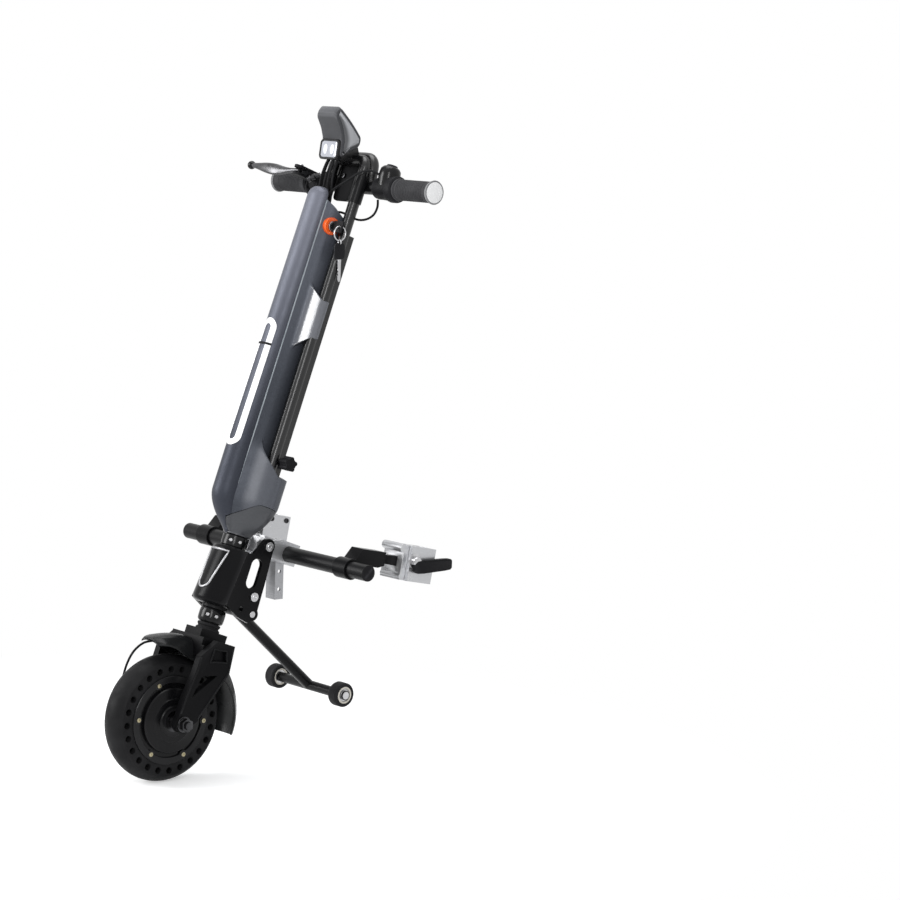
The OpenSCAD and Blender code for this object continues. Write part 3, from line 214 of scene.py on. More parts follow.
def grained_plastic(name, dark, light, rough=0.5, shine=0.09):
    s = Shader(name, Specular_IOR_Level=shine)
    tint = s.mottled(dark, light, scale=12)
    # Painted highlight: sharp outward edges get a colour three times lighter.
    s.colour(s.mix(s.edges(), tint, tuple(3 * c for c in light)))
    s.rough(40, rough - 0.06, rough + 0.08)
    s.bump(s.cells(1600, "Distance"), strength=0.18, distance=0.0003)
    return s.material


def tyre_rubber():
    s = Shader("tyre_rubber", Specular_IOR_Level=0.10)
    dust = s.ranged(s.noise(22, detail=6), 0, 1, start=0.35, end=0.75)
    s.colour(s.mix(dust, (0.006, 0.006, 0.0065), (0.014, 0.014, 0.015)))
    s.rough(60, 0.46, 0.66)
    s.bump(s.noise(900, detail=4), strength=0.2, distance=0.0005)
    return s.material


def base_paint():
    """Metallic paint of the column base, under a thin clear coat."""
    s = Shader("base_paint", Metallic=0.3, Specular_IOR_Level=0.3, Coat_Weight=0.15, Coat_Roughness=0.16)
    dark = (0.052, 0.054, 0.060)
    fine = s.mix(s.flakes(), dark, (0.076, 0.079, 0.086))
    s.colour(s.mix(s.ranged(s.noise(5), 0, 0.35), fine, dark))
    s.rough(50, 0.44, 0.52)
    s.bump(s.noise(700, detail=2), strength=0.03, distance=0.0003)
    return s.material


def spine_paint():
    """Metallic paint of the spine, with painted shade that darkens it toward the foot."""
    s = Shader("spine_paint", Metallic=0.5, Specular_IOR_Level=0.25)
    flakes = s.flakes()
    # Painted shade: the low colours at the foot and the high ones further up stand in for how the light
    # falls.
    low = s.mix(flakes, (0.028, 0.031, 0.041), (0.048, 0.053, 0.069))
    high = s.mix(flakes, (0.110, 0.116, 0.142), (0.178, 0.186, 0.224))
    s.colour(s.mix(s.ranged(s.axes()["Z"], 0, 1, start=0.52, end=0.90), low, high))
    s.rough(50, 0.46, 0.54)
    s.bump(s.noise(700, detail=2), strength=0.02, distance=0.0003)
    return s.material


def case_paint():
    """Metallic paint, with painted shade that darkens the flanks toward the foot, and under a deep clear
    coat where the case bulges.
    """
    s = Shader("case_paint", Metallic=0.4, Specular_IOR_Level=0.25, Coat_IOR=1.75)
    axes = s.axes()
    across = joined(s.tree, "ShaderNodeMath", axes["X"], operation="ABSOLUTE")["Value"]
    bulge = s.ranged(across, 0, 1, start=0.0280, end=0.0335)
    flakes = s.flakes()
    # Painted shade: the flank is darker at the foot and lighter at the top, as the light falls.
    foot = s.mix(flakes, (0.037, 0.041, 0.051), (0.070, 0.077, 0.094))
    top = s.mix(flakes, (0.084, 0.091, 0.111), (0.148, 0.160, 0.192))
    flank = s.mix(s.ranged(axes["Z"], 0, 1, start=0.60, end=0.86), foot, top)
    swell = s.mix(flakes, (0.046, 0.050, 0.062), (0.082, 0.089, 0.108))
    s.colour(s.mix(bulge, flank, swell))
    above_foot = s.ranged(axes["Z"], 0.3, 1, start=0.53, end=0.61)
    coat = joined(s.tree, "ShaderNodeMath", bulge, above_foot, operation="MULTIPLY")["Value"]
    coat_rough = s.ranged(axes["Z"], 0.36, 0.13, start=0.53, end=0.61)
    s.feed(s.shader, Coat_Weight=coat, Coat_Roughness=coat_rough)
    s.rough(50, 0.44, 0.52)
    s.bump(s.noise(700, detail=2), strength=0.02, distance=0.0003)
    return s.material


def silver_alloy(name, dark, light):
    s = Shader(name, Metallic=0.8)
    grain = s.noise(60, detail=4, stretch=(1, 14, 14))
    s.colour(s.mix(s.ranged(grain, 0, 1), dark, light))
    s.rough(40, 0.27, 0.34)
    s.bump(grain, strength=0.015, distance=0.0003)
    return s.material


def plated_steel(name, dark, light, rough):
    s = Shader(name, Metallic=1.0)
    s.colour(s.mottled(dark, light, scale=70, detail=5))
    s.rough(140, rough - 0.05, rough + 0.08)
    s.bump(s.noise(1200), strength=0.06, distance=0.0002)
    return s.material


def rubber(name, dark, light):
    s = Shader(name, Specular_IOR_Level=0.15)
    s.colour(s.mottled(dark, light, scale=35, detail=5))
    s.rough(80, 0.6, 0.78)
    s.bump(s.noise(1500), strength=0.2, distance=0.0003)
    return s.material


def plain_gloss(name, dark, light, rough, coat=0.0):
    s = Shader(name, Coat_Weight=coat)
    s.colour(s.mottled(dark, light, scale=25))
    s.rough(60, rough - 0.04, rough + 0.06)
    s.bump(s.noise(800), strength=0.04, distance=0.0002)
    return s.material


def light_white():
    # Painted glow: the white plastic strip is given a faint emission of its own.
    s = Shader("light_white", Emission_Strength=0.1, Emission_Color=(1, 1, 1, 1))
    s.colour(s.mottled((0.84, 0.84, 0.84), (0.90, 0.90, 0.90), scale=40))
    s.rough(60, 0.3, 0.42)
    return s.material


def lens_cover():
    # Painted glow: the lens of the headlamp, which is not lit, is given a faint emission of its own.
    s = Shader("lens_cover", Coat_Weight=0.6, Coat_Roughness=0.05, Emission_Strength=0.03,
               Emission_Color=(0.9, 0.92, 1, 1))
    s.colour(s.mottled((0.29, 0.30, 0.34), (0.37, 0.38, 0.42), scale=60))
    s.rough(90, 0.1, 0.2)
    s.bump(s.noise(300, detail=1), strength=0.05, distance=0.0004)
    return s.material


BLACK = black_coat("black_coat", rough=0.36, shine=0.06)
GLOSS = black_coat("black_gloss", rough=0.2, shine=0.22)
TUBE = black_coat("tube_coat", rough=0.33, shine=0.13)
DEEP = black_coat("deep_black", rough=0.6, shine=0.05)
HEAD = black_coat("head_coat", rough=0.28, shine=0.08)
HUB = black_coat("hub_coat", rough=0.24, shine=0.14)
UPRIGHT = black_coat("upright_coat", rough=0.27, shine=0.5)
PLASTIC = grained_plastic("black_plastic", (0.005, 0.005, 0.006), (0.009, 0.009, 0.010))
FENDER = grained_plastic("fender_plastic", (0.006, 0.0065, 0.007), (0.010, 0.0105, 0.011), rough=0.28,
                         shine=0.15)
DISPLAY = grained_plastic("display_plastic", (0.052, 0.053, 0.057), (0.072, 0.073, 0.078), rough=0.44)
PANEL = grained_plastic("display_side", (0.125, 0.127, 0.132), (0.150, 0.152, 0.158), rough=0.34)
TYRE = tyre_rubber()
PAINT = case_paint()
SPINE_PAINT = spine_paint()
BASE = base_paint()
SILVER = silver_alloy("silver_alloy", (0.49, 0.495, 0.51), (0.57, 0.575, 0.59))
SHADED_SILVER = silver_alloy("shaded_silver", (0.32, 0.325, 0.34), (0.40, 0.405, 0.42))
STEEL = plated_steel("plated_steel", (0.42, 0.42, 0.43), (0.58, 0.58, 0.59), rough=0.3)
DARK_STEEL = plated_steel("dark_steel", (0.035, 0.035, 0.037), (0.07, 0.07, 0.073), rough=0.28)
LEVER_METAL = plated_steel("lever_metal", (0.07, 0.07, 0.073), (0.12, 0.12, 0.124), rough=0.3)
BRASS = plated_steel("brass_plate", (0.30, 0.27, 0.18), (0.41, 0.37, 0.25), rough=0.34)
CHROME = plated_steel("chrome_trim", (0.27, 0.27, 0.28), (0.36, 0.36, 0.37), rough=0.36)
GRIP = rubber("grip_rubber", (0.027, 0.027, 0.029), (0.045, 0.045, 0.048))
ROLLER = rubber("roller_rubber", (0.009, 0.009, 0.010), (0.016, 0.016, 0.017))
CABLE = rubber("cable_jacket", (0.006, 0.006, 0.007), (0.012, 0.012, 0.013))
CAP_GREY = rubber("cap_grey", (0.20, 0.20, 0.205), (0.28, 0.28, 0.285))
CREAM = plain_gloss("roller_ring", (0.58, 0.55, 0.48), (0.70, 0.67, 0.60), rough=0.4)
ORANGE = plain_gloss("lock_orange", (0.84, 0.095, 0.007), (0.93, 0.125, 0.010), rough=0.36, coat=0.3)
SCREEN = plain_gloss("screen_gloss", (0.006, 0.006, 0.008), (0.010, 0.010, 0.012), rough=0.1, coat=1.0)
# Painted highlight: pale beads stand in for the light caught along the spine's edges.
SEAM_HIGHLIGHT = plain_gloss("seam_painted_highlight", (0.26, 0.29, 0.32), (0.34, 0.37, 0.40), rough=0.5)
PALE_CAP = plain_gloss("pale_cap", (0.84, 0.84, 0.84), (0.90, 0.90, 0.90), rough=0.5)
GLOW = plain_gloss("lamp_glow", (0.60, 0.61, 0.65), (0.70, 0.71, 0.75), rough=0.3)
LIGHT = light_white()
LENS = lens_cover()

# Mesh making
FEW_STEPS = 24
TINY_STEPS = 32
SMALL_STEPS = 40
MIDDLE_STEPS = 48
ROUND_STEPS = 64
LARGE_STEPS = 128
AXIS_R = 0.01


def piece(name, shape, place, material, body="steering", slot="black_metal", replaces=(), sharp=35,
          bevel=None):
    """A closed mesh given in the millimetres of a frame, riding on a body."""
    verts, faces = shape
    mesh = bpy.data.meshes.new(name)
    mesh.from_pydata([place @ Vector(v) for v in verts], [], faces)
    work = bmesh.new()
    work.from_mesh(mesh)
    bmesh.ops.remove_doubles(work, verts=work.verts, dist=1e-6)
    bmesh.ops.recalc_face_normals(work, faces=work.faces)
    work.to_mesh(mesh)
    work.free()
    return placed(name, mesh, material, body, replaces, sharp, bevel)


def placed(name, mesh, material, body, replaces, sharp, bevel):
    mesh.shade_smooth()
    mesh.set_sharp_from_angle(angle=math.radians(sharp))
    mesh.materials.clear()
    mesh.materials.append(material)
    thing = add_object(name, mesh)
    if bevel:
        modifier = thing.modifiers.new("bevel", "BEVEL")
        modifier.width = bevel * MM
        modifier.segments = 3
        modifier.limit_method = "ANGLE"
        modifier.angle_limit = math.radians(sharp)
        modifier.harden_normals = True
    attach(thing, body)
    if replaces:
        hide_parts(*replaces)
    return thing


def refined(node, material, bevel):
    """A copy of a node's mesh with flat faces joined and its edges rounded."""
    work = bmesh.new()
    work.from_mesh(NODES[node].data)
    bmesh.ops.remove_doubles(work, verts=work.verts, dist=2e-6)
    bmesh.ops.dissolve_limit(work, angle_limit=math.radians(0.5), verts=work.verts, edges=work.edges)
    mesh = bpy.data.meshes.new(node + "_rounded")
    work.to_mesh(mesh)
    work.free()
    return placed(node + "_rounded", mesh, material, BODY_OF[node], (node,), sharp=30,
                  bevel=bevel)


def painted(node, material):
    """The node itself, with a better material."""
    mesh = NODES[node].data
    mesh.materials.clear()
    mesh.materials.append(material)


def loft(rings, closed=False):
    """Points and faces of a skin over closed rings of one count, with two end caps or the ends joined."""
    count = len(rings[0])
    total = len(rings)
    verts = [tuple(p) for ring in rings for p in ring]
    faces = []
    for row in range(total if closed else total - 1):
        here = row * count
        there = (row + 1) % total * count
        for c in range(count):
            d = (c + 1) % count
            faces.append((here + c, here + d, there + d, there + c))
    if not closed:
        faces.append(tuple(range(count)))
        faces.append(tuple(reversed(range((total - 1) * count, total * count))))
    return verts, faces


def layered(layers, axis, centre=(0, 0)):
    """Skin over flat outlines, each at its own place along an axis."""
    return loft([np.insert(np.array(line, float) + centre, axis, place, axis=1) for line, place in layers])


def turned(profile, steps):
    """Skin of a closed profile of (along x, radius) turned about the x axis."""
    rings = [[(x, r * math.sin(t), r * math.cos(t)) for x, r in profile] for t in full_turn(steps)]
    return loft(rings, True)


def extruded(outline, start, end, inset):
    """Skin of a flat outline of [back, up] drawn along x, its end faces set in by a share."""
    edge_share = 0.12
    ring = np.array(outline, float)
    middle = ring.mean(axis=0)
    small = middle + (ring - middle) * (1 - inset)
    edge = (end - start) * edge_share
    return layered([(small, start), (ring, start + edge), (ring, end - edge), (small, end)], axis=0)


def swept(path, sizes, sides, closed=False):
    """Skin of a round or oval bar along a path, with a half width and half height at each point."""
    path = np.array(path, float)
    if closed:
        ahead = np.roll(path, -1, axis=0) - np.roll(path, 1, axis=0)
        arms = path - path.mean(axis=0)
        lift = np.cross(arms, np.roll(arms, -1, axis=0)).sum(axis=0)
        lift /= np.linalg.norm(lift)
    else:
        ahead = np.gradient(path, axis=0)
    ahead /= np.linalg.norm(ahead, axis=1)[:, None]
    if not closed:
        lift = np.array((0, 0, 1.0)) if abs(ahead[0][2]) < 0.9 else np.array((0, 1.0, 0))
    turns = full_turn(sides)
    rings = []
    for place, way, (wide, tall) in zip(path, ahead, sizes):
        if not closed:
            lift = lift - way * lift.dot(way)
            lift /= np.linalg.norm(lift)
        across = np.cross(way, lift)
        across /= np.linalg.norm(across)
        up = np.cross(across, way)
        rings.append(place + np.outer(np.cos(turns) * wide, across) + np.outer(np.sin(turns) * tall, up))
    return loft(rings, closed)


def rod(path, radius, sides=20, closed=False):
    """Skin of a round bar of one radius along a path."""
    return swept(path, [(radius, radius)] * len(path), sides, closed)


def along_x_at(x, back, up):
    """Frame whose x axis runs across the column from a place."""
    return STEER @ shift(x, back, up)


def upright_at(x, back, up):
    """Frame whose x axis runs up along the steering axis from a place."""
    return along_x_at(x, back, up) @ spin(-math.pi / 2, "Y")


def to_side(side):
    """The frame as it is on the near side, mirrored on the far side."""
    return Matrix.Scale(side, 4, (1, 0, 0))


def socket_screw(name, place, radius, height, material, body="steering", slot="bright_steel"):
    """Screw head along x with rounded edge and a six-sided socket."""
    socket_wide, socket_floor, half_side = 0.52, 0.35, math.pi / 6
    turns = full_turn(FEW_STEPS)
    hexagon = socket_wide * radius * math.cos(half_side) / np.cos((turns % (math.pi / 3)) - half_side)

    def ring(share, radii):
        along = np.full(FEW_STEPS, share * height)
        return np.column_stack([along, radii * np.sin(turns), radii * np.cos(turns)])

    rings = [ring(share, radius * wide) for share, wide in ((0, 1), (0.72, 1), (0.92, 0.93), (1, 0.80))]
    rings += [ring(1, hexagon), ring(socket_floor, hexagon)]
    return piece(name, loft(rings), place, material, body, slot, sharp=30)


def smooth_run(points, steps):
    """Points on a smooth curve through the given ones."""
    p = np.array(points, float)
    run = []
    for i in range(len(p) - 1):
        a, b, c, d = p[max(i - 1, 0)], p[i], p[i + 1], p[min(i + 2, len(p) - 1)]
        for k in range(steps):
            t = k / steps
            curve = (2 * a - 5 * b + 4 * c - d) * t * t + (3 * b - a - 3 * c + d) * t ** 3
            run.append((2 * b + (c - a) * t + curve) / 2)
    run.append(p[-1])
    return np.array(run)


def smoothstep(x):
    t = np.clip(x, 0, 1)
    return t * t * (3 - 2 * t)


def rounded_box(half_across, half_up, corner):
    """Outline of a box with round corners, as [across, up]."""
    steps = 6
    points = []
    for k, (sx, sy) in enumerate(((1, 1), (-1, 1), (-1, -1), (1, -1))):
        for i in range(steps + 1):
            turn = math.pi / 2 * (k + i / steps)
            points.append((sx * (half_across - corner) + corner * math.cos(turn),
                           sy * (half_up - corner) + corner * math.sin(turn)))
    return np.array(points)


# Cables: four run along the routes of their solids, and the other five have no solid
CABLE_R = 1.8
CABLES = (
    ("motor_lead", "motor_cable",
     [(-38, -33, 114), (-38, -50, 110), (-38, -68, 105), (-38, -82, 97), (-40, -92, 80),
      (-47, -91, 56), (-63, -76, 30), (-73.5, -55, 9), (-75.9, -34, 0)]),
    ("brake_lead", "brake_cable",
     [(-84, -12, 868), (-80, -14, 855), (-64, -18, 844), (-42, -22, 839), (-22, -23, 836),
      (-12, -21, 829), (-10, -20, 820), (-10, -20, 809)]),
    ("throttle_lead", "throttle_cable",
     [(72, 10, 852), (75, 11, 840), (70, 12, 828), (56, 12, 820), (36, 11, 818), (20, 2, 822),
      (12, -8, 822), (10, -14, 816), (10, -14, 806)]),
    ("display_lead", "display_cable",
     [(6, -44, 897.8), (6, -44, 885), (4, -42, 868), (2, -36, 850), (0, -30, 836), (0, -26, 824),
      (0, -26, 812)]),
    ("pod_lead", None,
     [(72, -2, 889), (62, -12, 891), (48, -21, 884), (32, -27, 868), (16, -33, 852), (6, -35, 838),
      (4, -34, 822)]),
    ("lamp_lead", None,
     [(-4, -46, 898), (-6, -47, 886), (-9, -46, 870), (-12, -42, 854), (-13, -37, 838),
      (-13, -35, 822)]),
    ("screen_lead", None,
     [(0, -40, 900), (-2, -40, 886), (-5, -40, 868), (-6, -38, 850), (-6, -36, 836), (-6, -35, 820)]),
    ("signal_lead", None,
     [(-7, -41, 900), (-8.5, -42.5, 886), (-10.5, -41.5, 870), (-12.5, -37.8, 854), (-11, -32.5, 838),
      (-10, -30, 822)]),
    ("power_lead", None,
     [(11, -39, 902), (10, -40, 886), (9, -38, 868), (8, -33, 852), (7, -28, 836), (6, -25, 818)]),
)


def cable(name, node, route):
    """A round cable held at both ends, as one curve."""
    run = [STEER @ Vector(p) for p in smooth_run(route, steps=8)]
    data = bpy.data.curves.new(name, "CURVE")
    data.dimensions = "3D"
    data.bevel_depth = CABLE_R * MM
    data.bevel_resolution = 5
    data.use_fill_caps = True
    spline = data.splines.new("POLY")
    spline.points.add(len(run) - 1)
    for point, place in zip(spline.points, run):
        point.co = (*place, 1)
    spline.use_smooth = True
    data.materials.append(CABLE)
    thing = add_object(name, data)
    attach(thing, "steering")
    if node:
        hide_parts(node)


def make_cables():
    for name, node, route in CABLES:
        cable(name, node, route)


make_cables()

# Battery column: outlines are [x, back] of one side, heights run up the steering axis
EDGE_STEPS = 6
FRONT_POINTS = 33
SPINE_V = 45
SPINE_R = 22
SPLIT_V = 44.5
SPLIT_X = math.sqrt(SPINE_R ** 2 - (SPLIT_V - SPINE_V) ** 2)
LIP = [(20.9, -44.7), (22.3, -43.8)]
FLANK = [LIP[1], (24.6, -37.2), (27.1, -30.5), (27.5, -24), (27.5, -16), (27.5, -9), (27.4, -2.6),
         (14, -2.4), (0, -2.4)]
CHEEK = [LIP[1], (24.8, -37.2), (27.2, -31.6), (33.5, -25.5), (39.5, -19.05), (45.1, -12.25), (49, -5.4),
         (45, -2.4), (0, -2.4)]
BLOCK = [LIP[1], (27.5, -37.5), (34.5, -28.5), (42.6, -18.8), (49.2, -7.8), (54, 2), (55.8, 10),
         (46, 24), (0, 26)]
FLANK_POINTS = (len(FLANK) - 1) * EDGE_STEPS + 1
NECK_R = 22.5
NECK_UP = 300
BOWL_UP = 356
BOWL_CURVE = 1.8
SEAM_FRONT = 324
SEAM_AT = 38
SEAM_RISE = 1.1
SEAM_TOP = 28
SEAM_SOFT = 4
SEAM_FALL = 0.12
SEAM_TRIES = 40
SEAM_START = 330
FOOT_UP = 372
BLOCK_RIM = (440, 402)
RIM_BLEND = (22, 8)
CHEEK_LOW = (594, 616)
CHEEK_HIGH = (700, 682)
CHEEK_BLEND = (7, 8)
TOP_FRONT = 830
TOP_DROP = 0.486
TAPER_FROM = 420
TAPER_OVER = 420
TAPER_SHARE = 0.27
SPINE_DOME = 848
DOME_RISE = 16
GROOVE_UP = 395
GROOVE_OVER = 70
GROOVE_DEEP = 0.9
GROOVE_FROM = 0.74
GROOVE_SHARE = 0.2
LIGHT_LOW = 440.3
LIGHT_HIGH = 614.7
LIGHT_OUTER = 15.2
LIGHT_INNER = 6.4
LIGHT_SUNK = 0.8
LIGHT_PROUD = 0.35


def seam_height(back):
    """Height of the seam above the base: it climbs from the front and falls a little along the flanks."""
    climb = SEAM_RISE * (back + SEAM_AT)
    fall = SEAM_FALL * np.maximum(back + SEAM_AT - SEAM_TOP / SEAM_RISE, 0)
    return SEAM_FRONT + SEAM_TOP - fall - SEAM_SOFT * np.log1p(np.exp((SEAM_TOP - climb) / SEAM_SOFT))


def seam_row(outline, count, start):
    """Heights at which an outline meets the seam, found by repeating from a start height."""
    up = np.full(count, float(start))
    for _ in range(SEAM_TRIES):
        up = seam_height(outline(up)[:, 1])
    return up


def flank_lines():
    """How far round the flank each point lies, and the heights of the rim and cheek there."""
    first, span = 2, 3
    along = np.clip((np.arange(FLANK_POINTS) / EDGE_STEPS - first) / span, 0, 1)
    rim, low, high = (front + (back - front) * along for front, back in (BLOCK_RIM, CHEEK_LOW, CHEEK_HIGH))
    return along, rim, low, high


def bowl(points, up):
    """Draws an outline in to the round neck below the bowl's rim."""
    share = np.clip((BOWL_UP - up) / (BOWL_UP - NECK_UP), 0, 1) ** BOWL_CURVE
    away = points / np.maximum(np.linalg.norm(points, axis=1), 1e-6)[:, None]
    return points * (1 - share[:, None]) + NECK_R * away * share[:, None]


def flank_points(up):
    """Outline of one flank at the given heights, one height for each of its points."""
    flank, cheek, block = (smooth_run(line, EDGE_STEPS) for line in (FLANK, CHEEK, BLOCK))
    along, rim, low, high = flank_lines()
    blend = RIM_BLEND[0] + (RIM_BLEND[1] - RIM_BLEND[0]) * along
    in_block = smoothstep((rim - up) / blend + 0.5)[:, None]
    above = smoothstep((up - low) / CHEEK_BLEND[0] + 0.5)
    in_cheek = (above * smoothstep((high - up) / CHEEK_BLEND[1] + 0.5))[:, None]
    return bowl(flank + (block - flank) * in_block + (cheek - flank) * in_cheek, up)


def row_heights(anchors, counts):
    """Heights of the rows of a skin: each stretch between two anchor rows is cut into a count of steps."""
    rows = []
    for low, high, count in zip(anchors, anchors[1:], counts):
        for k in range(count):
            rows.append(low + (high - low) * k / count)
    rows.append(anchors[-1])
    return rows


def drawn_back(back, up):
    """The front of the spine, which grows shallower toward the top."""
    share = 1 - TAPER_SHARE * np.clip((up - TAPER_FROM) / TAPER_OVER, 0, 1)
    return (back + SPLIT_V) * share - SPLIT_V


def on_spine(turn, reach, up):
    """A point at a turn round the spine, at a reach from its middle line."""
    return (reach * math.sin(turn), drawn_back(-SPINE_V - reach * math.cos(turn), up), up)


def front_points(up):
    """Front arc at the given heights, its two edges set in behind the lip of the case above the foot."""
    half = math.atan2(SPLIT_X, SPLIT_V - SPINE_V)
    turns = np.linspace(half, -half, FRONT_POINTS)
    by_edge = smoothstep((np.abs(np.linspace(-1, 1, FRONT_POINTS)) - GROOVE_FROM) / GROOVE_SHARE)
    reach = SPINE_R - GROOVE_DEEP * by_edge * smoothstep((up - GROOVE_UP) / GROOVE_OVER)
    back = -SPINE_V - reach * np.cos(turns)
    return bowl(np.column_stack([reach * np.sin(turns), drawn_back(back, up)]), up)


def flank_rows():
    _, rim, low, high = flank_lines()
    start = seam_row(flank_points, FLANK_POINTS, SEAM_START)
    top = TOP_FRONT - TOP_DROP * (smooth_run(FLANK, EDGE_STEPS)[:, 1] + SPLIT_V)
    by_rim, by_cheek = 12, 6
    anchors = [start, np.maximum(start + 4, FOOT_UP), rim - by_rim, rim + by_rim, low - by_cheek,
               low + by_cheek, high - by_cheek, high + by_cheek, top]
    return row_heights(anchors, [12, 4, 12, 5, 10, 3, 10, 4])


def both_flanks(right):
    """A flank's points followed by their mirror image, back to the front."""
    return np.concatenate([right, right[-2::-1] * (-1, 1, 1)])


def make_case():
    """Rear shell of the battery, with its flared foot and the cheeks about the uprights."""
    step = np.array(LIP[0]) - LIP[1]
    rings = []
    for up in flank_rows():
        right = np.column_stack([flank_points(up), up])
        show = smoothstep((up[0] - GROOVE_UP) / GROOVE_OVER)
        lip = right[0] + (step[0], step[1] * (2 - show), 0)
        rings.append(both_flanks(np.concatenate([[lip], right])))
    piece("battery_shell", loft(rings), STEER, PAINT, slot="column_paint", replaces=("battery_case",),
          sharp=22, bevel=0.4)


def make_spine():
    """Rounded front of the battery, with a low dome on top."""
    start = seam_row(front_points, FRONT_POINTS, NECK_UP)
    middle_up, dome_steps, drawn_in = 470, 8, 0.62
    shoulder = SPINE_DOME - DOME_RISE
    level = [np.full(FRONT_POINTS, float(up)) for up in (FOOT_UP, middle_up, shoulder)]
    rows = row_heights([start] + level, [14, 8, 8])
    rings = [np.column_stack([front_points(up), up]) for up in rows]
    middle = np.array([0, -SPLIT_V])
    top = front_points(rows[-1])
    for k in range(1, dome_steps + 1):
        turn = k / dome_steps * math.pi / 2
        share = 1 - drawn_in * (1 - math.cos(turn))
        height = np.full(FRONT_POINTS, shoulder + DOME_RISE * math.sin(turn))
        rings.append(np.column_stack([middle + (top - middle) * share, height]))
    piece("spine_shell", loft(rings), STEER, SPINE_PAINT, slot="column_paint", replaces=("battery_spine",),
          sharp=40, bevel=0.4)


def make_base():
    """Column base below the slanted seam, down to the round neck."""
    gap, shrink, skirt, steps = 0.8, 0.994, 2, 10
    end_front = seam_row(front_points, FRONT_POINTS, NECK_UP) - gap
    end_side = seam_row(flank_points, FLANK_POINTS, SEAM_START) - gap

    def loop(share):
        up_front = NECK_UP + (end_front - NECK_UP) * share
        up_side = NECK_UP + (end_side - NECK_UP) * share
        flanks = both_flanks(np.column_stack([flank_points(up_side), up_side]))
        arc = np.column_stack([front_points(up_front), up_front])[::-1]
        return np.concatenate([flanks, arc[1:-1]])

    rings = [loop(0) - (0, 0, skirt)]
    rings += [loop(k / steps) * (shrink, shrink, 1) for k in range(steps + 1)]
    piece("base_shell", loft(rings), STEER, BASE, replaces=("column_base",), sharp=40, bevel=0.5)


def make_light():
    """Loop of light set in the front of the spine."""
    arc = [(math.cos(t), math.sin(t)) for t in np.linspace(0, math.pi, 19)]
    stations = [(c, s, LIGHT_HIGH) for c, s in arc] + [(-c, -s, LIGHT_LOW) for c, s in arc]
    section = [(LIGHT_OUTER + (LIGHT_INNER - LIGHT_OUTER) * k / 4, -LIGHT_PROUD) for k in range(5)]
    section = [(LIGHT_OUTER, LIGHT_SUNK)] + section + [(LIGHT_INNER, LIGHT_SUNK)]
    rings = []
    for cos, sin, middle in stations:
        rings.append([on_spine(math.asin(half * cos / SPINE_R), SPINE_R - depth, middle + half * sin)
                      for half, depth in section])
    piece("light_loop", loft(rings, True), STEER, LIGHT, slot="light_white", replaces=("light_strip",),
          sharp=40)


def make_seams():
    """Pale beads where the spine meets the case, a painted highlight along that edge, and the joint across
    the light.
    """
    across, back, top, thin, thicker, grown_over = 21.7, -44.6, 829, 0.4, 0.8, 110
    for word, side in SIDES:
        run = np.array([(side * across, back, up) for up in np.linspace(FOOT_UP, top, 40)])
        sizes = [(thin + thicker * smoothstep((up - FOOT_UP) / grown_over),) * 2 for up in run[:, 2]]
        piece(word + "_seam_painted_highlight", swept(run, sizes, sides=8), STEER, SEAM_HIGHLIGHT, slot="column_paint", sharp=60)
    low, high, proud, half_turn = 587.4, 591, 0.7, 0.78
    section = ((SPINE_R, low), (SPINE_R + proud, low), (SPINE_R + proud, high), (SPINE_R, high))
    turns = np.linspace(-half_turn, half_turn, 17)
    rings = [[on_spine(turn, r, up) for r, up in section] for turn in turns]
    piece("light_joint", loft(rings), STEER, DEEP, slot="light_white", sharp=30)


def make_rail_cover():
    """Cover on the back of the rail, with a sunk field and screws along its edges."""
    foot, floor, lip, face = 9.6, 10.4, 11.2, 11.8
    screw_x, screw_back, screw_up, screw_pitch, screw_r, screw_h = 31.5, 11.6, 468, 140, 2.6, 1.4
    edge = rounded_box(half_across=36, half_up=166, corner=9)
    field = rounded_box(half_across=27, half_up=157, corner=6)
    layers = ((edge, foot), (edge, lip), (edge * 0.985, face), (field * 1.02, face), (field, lip),
              (field, floor))
    piece("rail_cover", layered(layers, axis=1, centre=(0, screw_up + screw_pitch)), STEER, PLASTIC)
    for word, side in SIDES:
        for k in range(3):
            place = along_x_at(side * screw_x, screw_back, screw_up + screw_pitch * k)
            place = place @ spin(math.pi / 2, "Z")
            socket_screw("%s_cover_screw_%d" % (word, k), place, screw_r, screw_h, DARK_STEEL)


make_rail_cover()
make_case()
make_spine()
make_base()
make_seams()
make_light()

# Handlebar and display
HANDLE_V = 11
HANDLE_W = 871
LEFT_FROM = 113.5
LEFT_END = 197
RIGHT_FROM = 105
RIGHT_END = 187
BAR_BORE_R = 11.1
POD_AT = (88, 5, HANDLE_W)
PERCH_X = -90
PERCH_W = 877
LEVER_PIVOT = (PERCH_X, -30, 885)
STOP_AT = (-79, -16, 868)
STOP_TURN = math.radians(-35)
STOP_LEAN = 0.3
HANG_AT = (49.98, -27, 793)
HEADLAMP_AT = (0, -53.5, 908)
HEADLAMP_TILT = math.radians(102)
DISPLAY_LINE = [(-81, 958), (-80.5, 964), (-78, 968.5), (-73, 970), (-66, 967.5), (-44, 957), (-22, 944),
                (-17, 939), (-15.5, 932), (-16.5, 926), (-22, 919.5), (-32, 911), (-39, 904), (-43, 899),
                (-46, 897.5), (-49, 899.5), (-51, 906), (-53.5, 917), (-56, 925), (-60.5, 932),
                (-66, 939.5), (-73, 946.5), (-79, 952.5)]
LEVER_RUN = [(-88, -30, 877, 5.0, 3.6), (-97, -31.5, 876.6, 4.6, 3.6), (-108, -34, 875.0, 3.8, 4.4),
             (-120, -37, 873.4, 3.4, 6.6), (-132, -40, 872.8, 3.4, 8.8), (-144, -42, 873.2, 3.5, 9.2),
             (-160, -43, 874.4, 3.6, 8.0), (-176, -42.6, 875.6, 3.6, 5.8), (-189, -41.6, 876.6, 3.6, 4.4),
             (-197, -41.2, 877, 3.6, 4.2)]


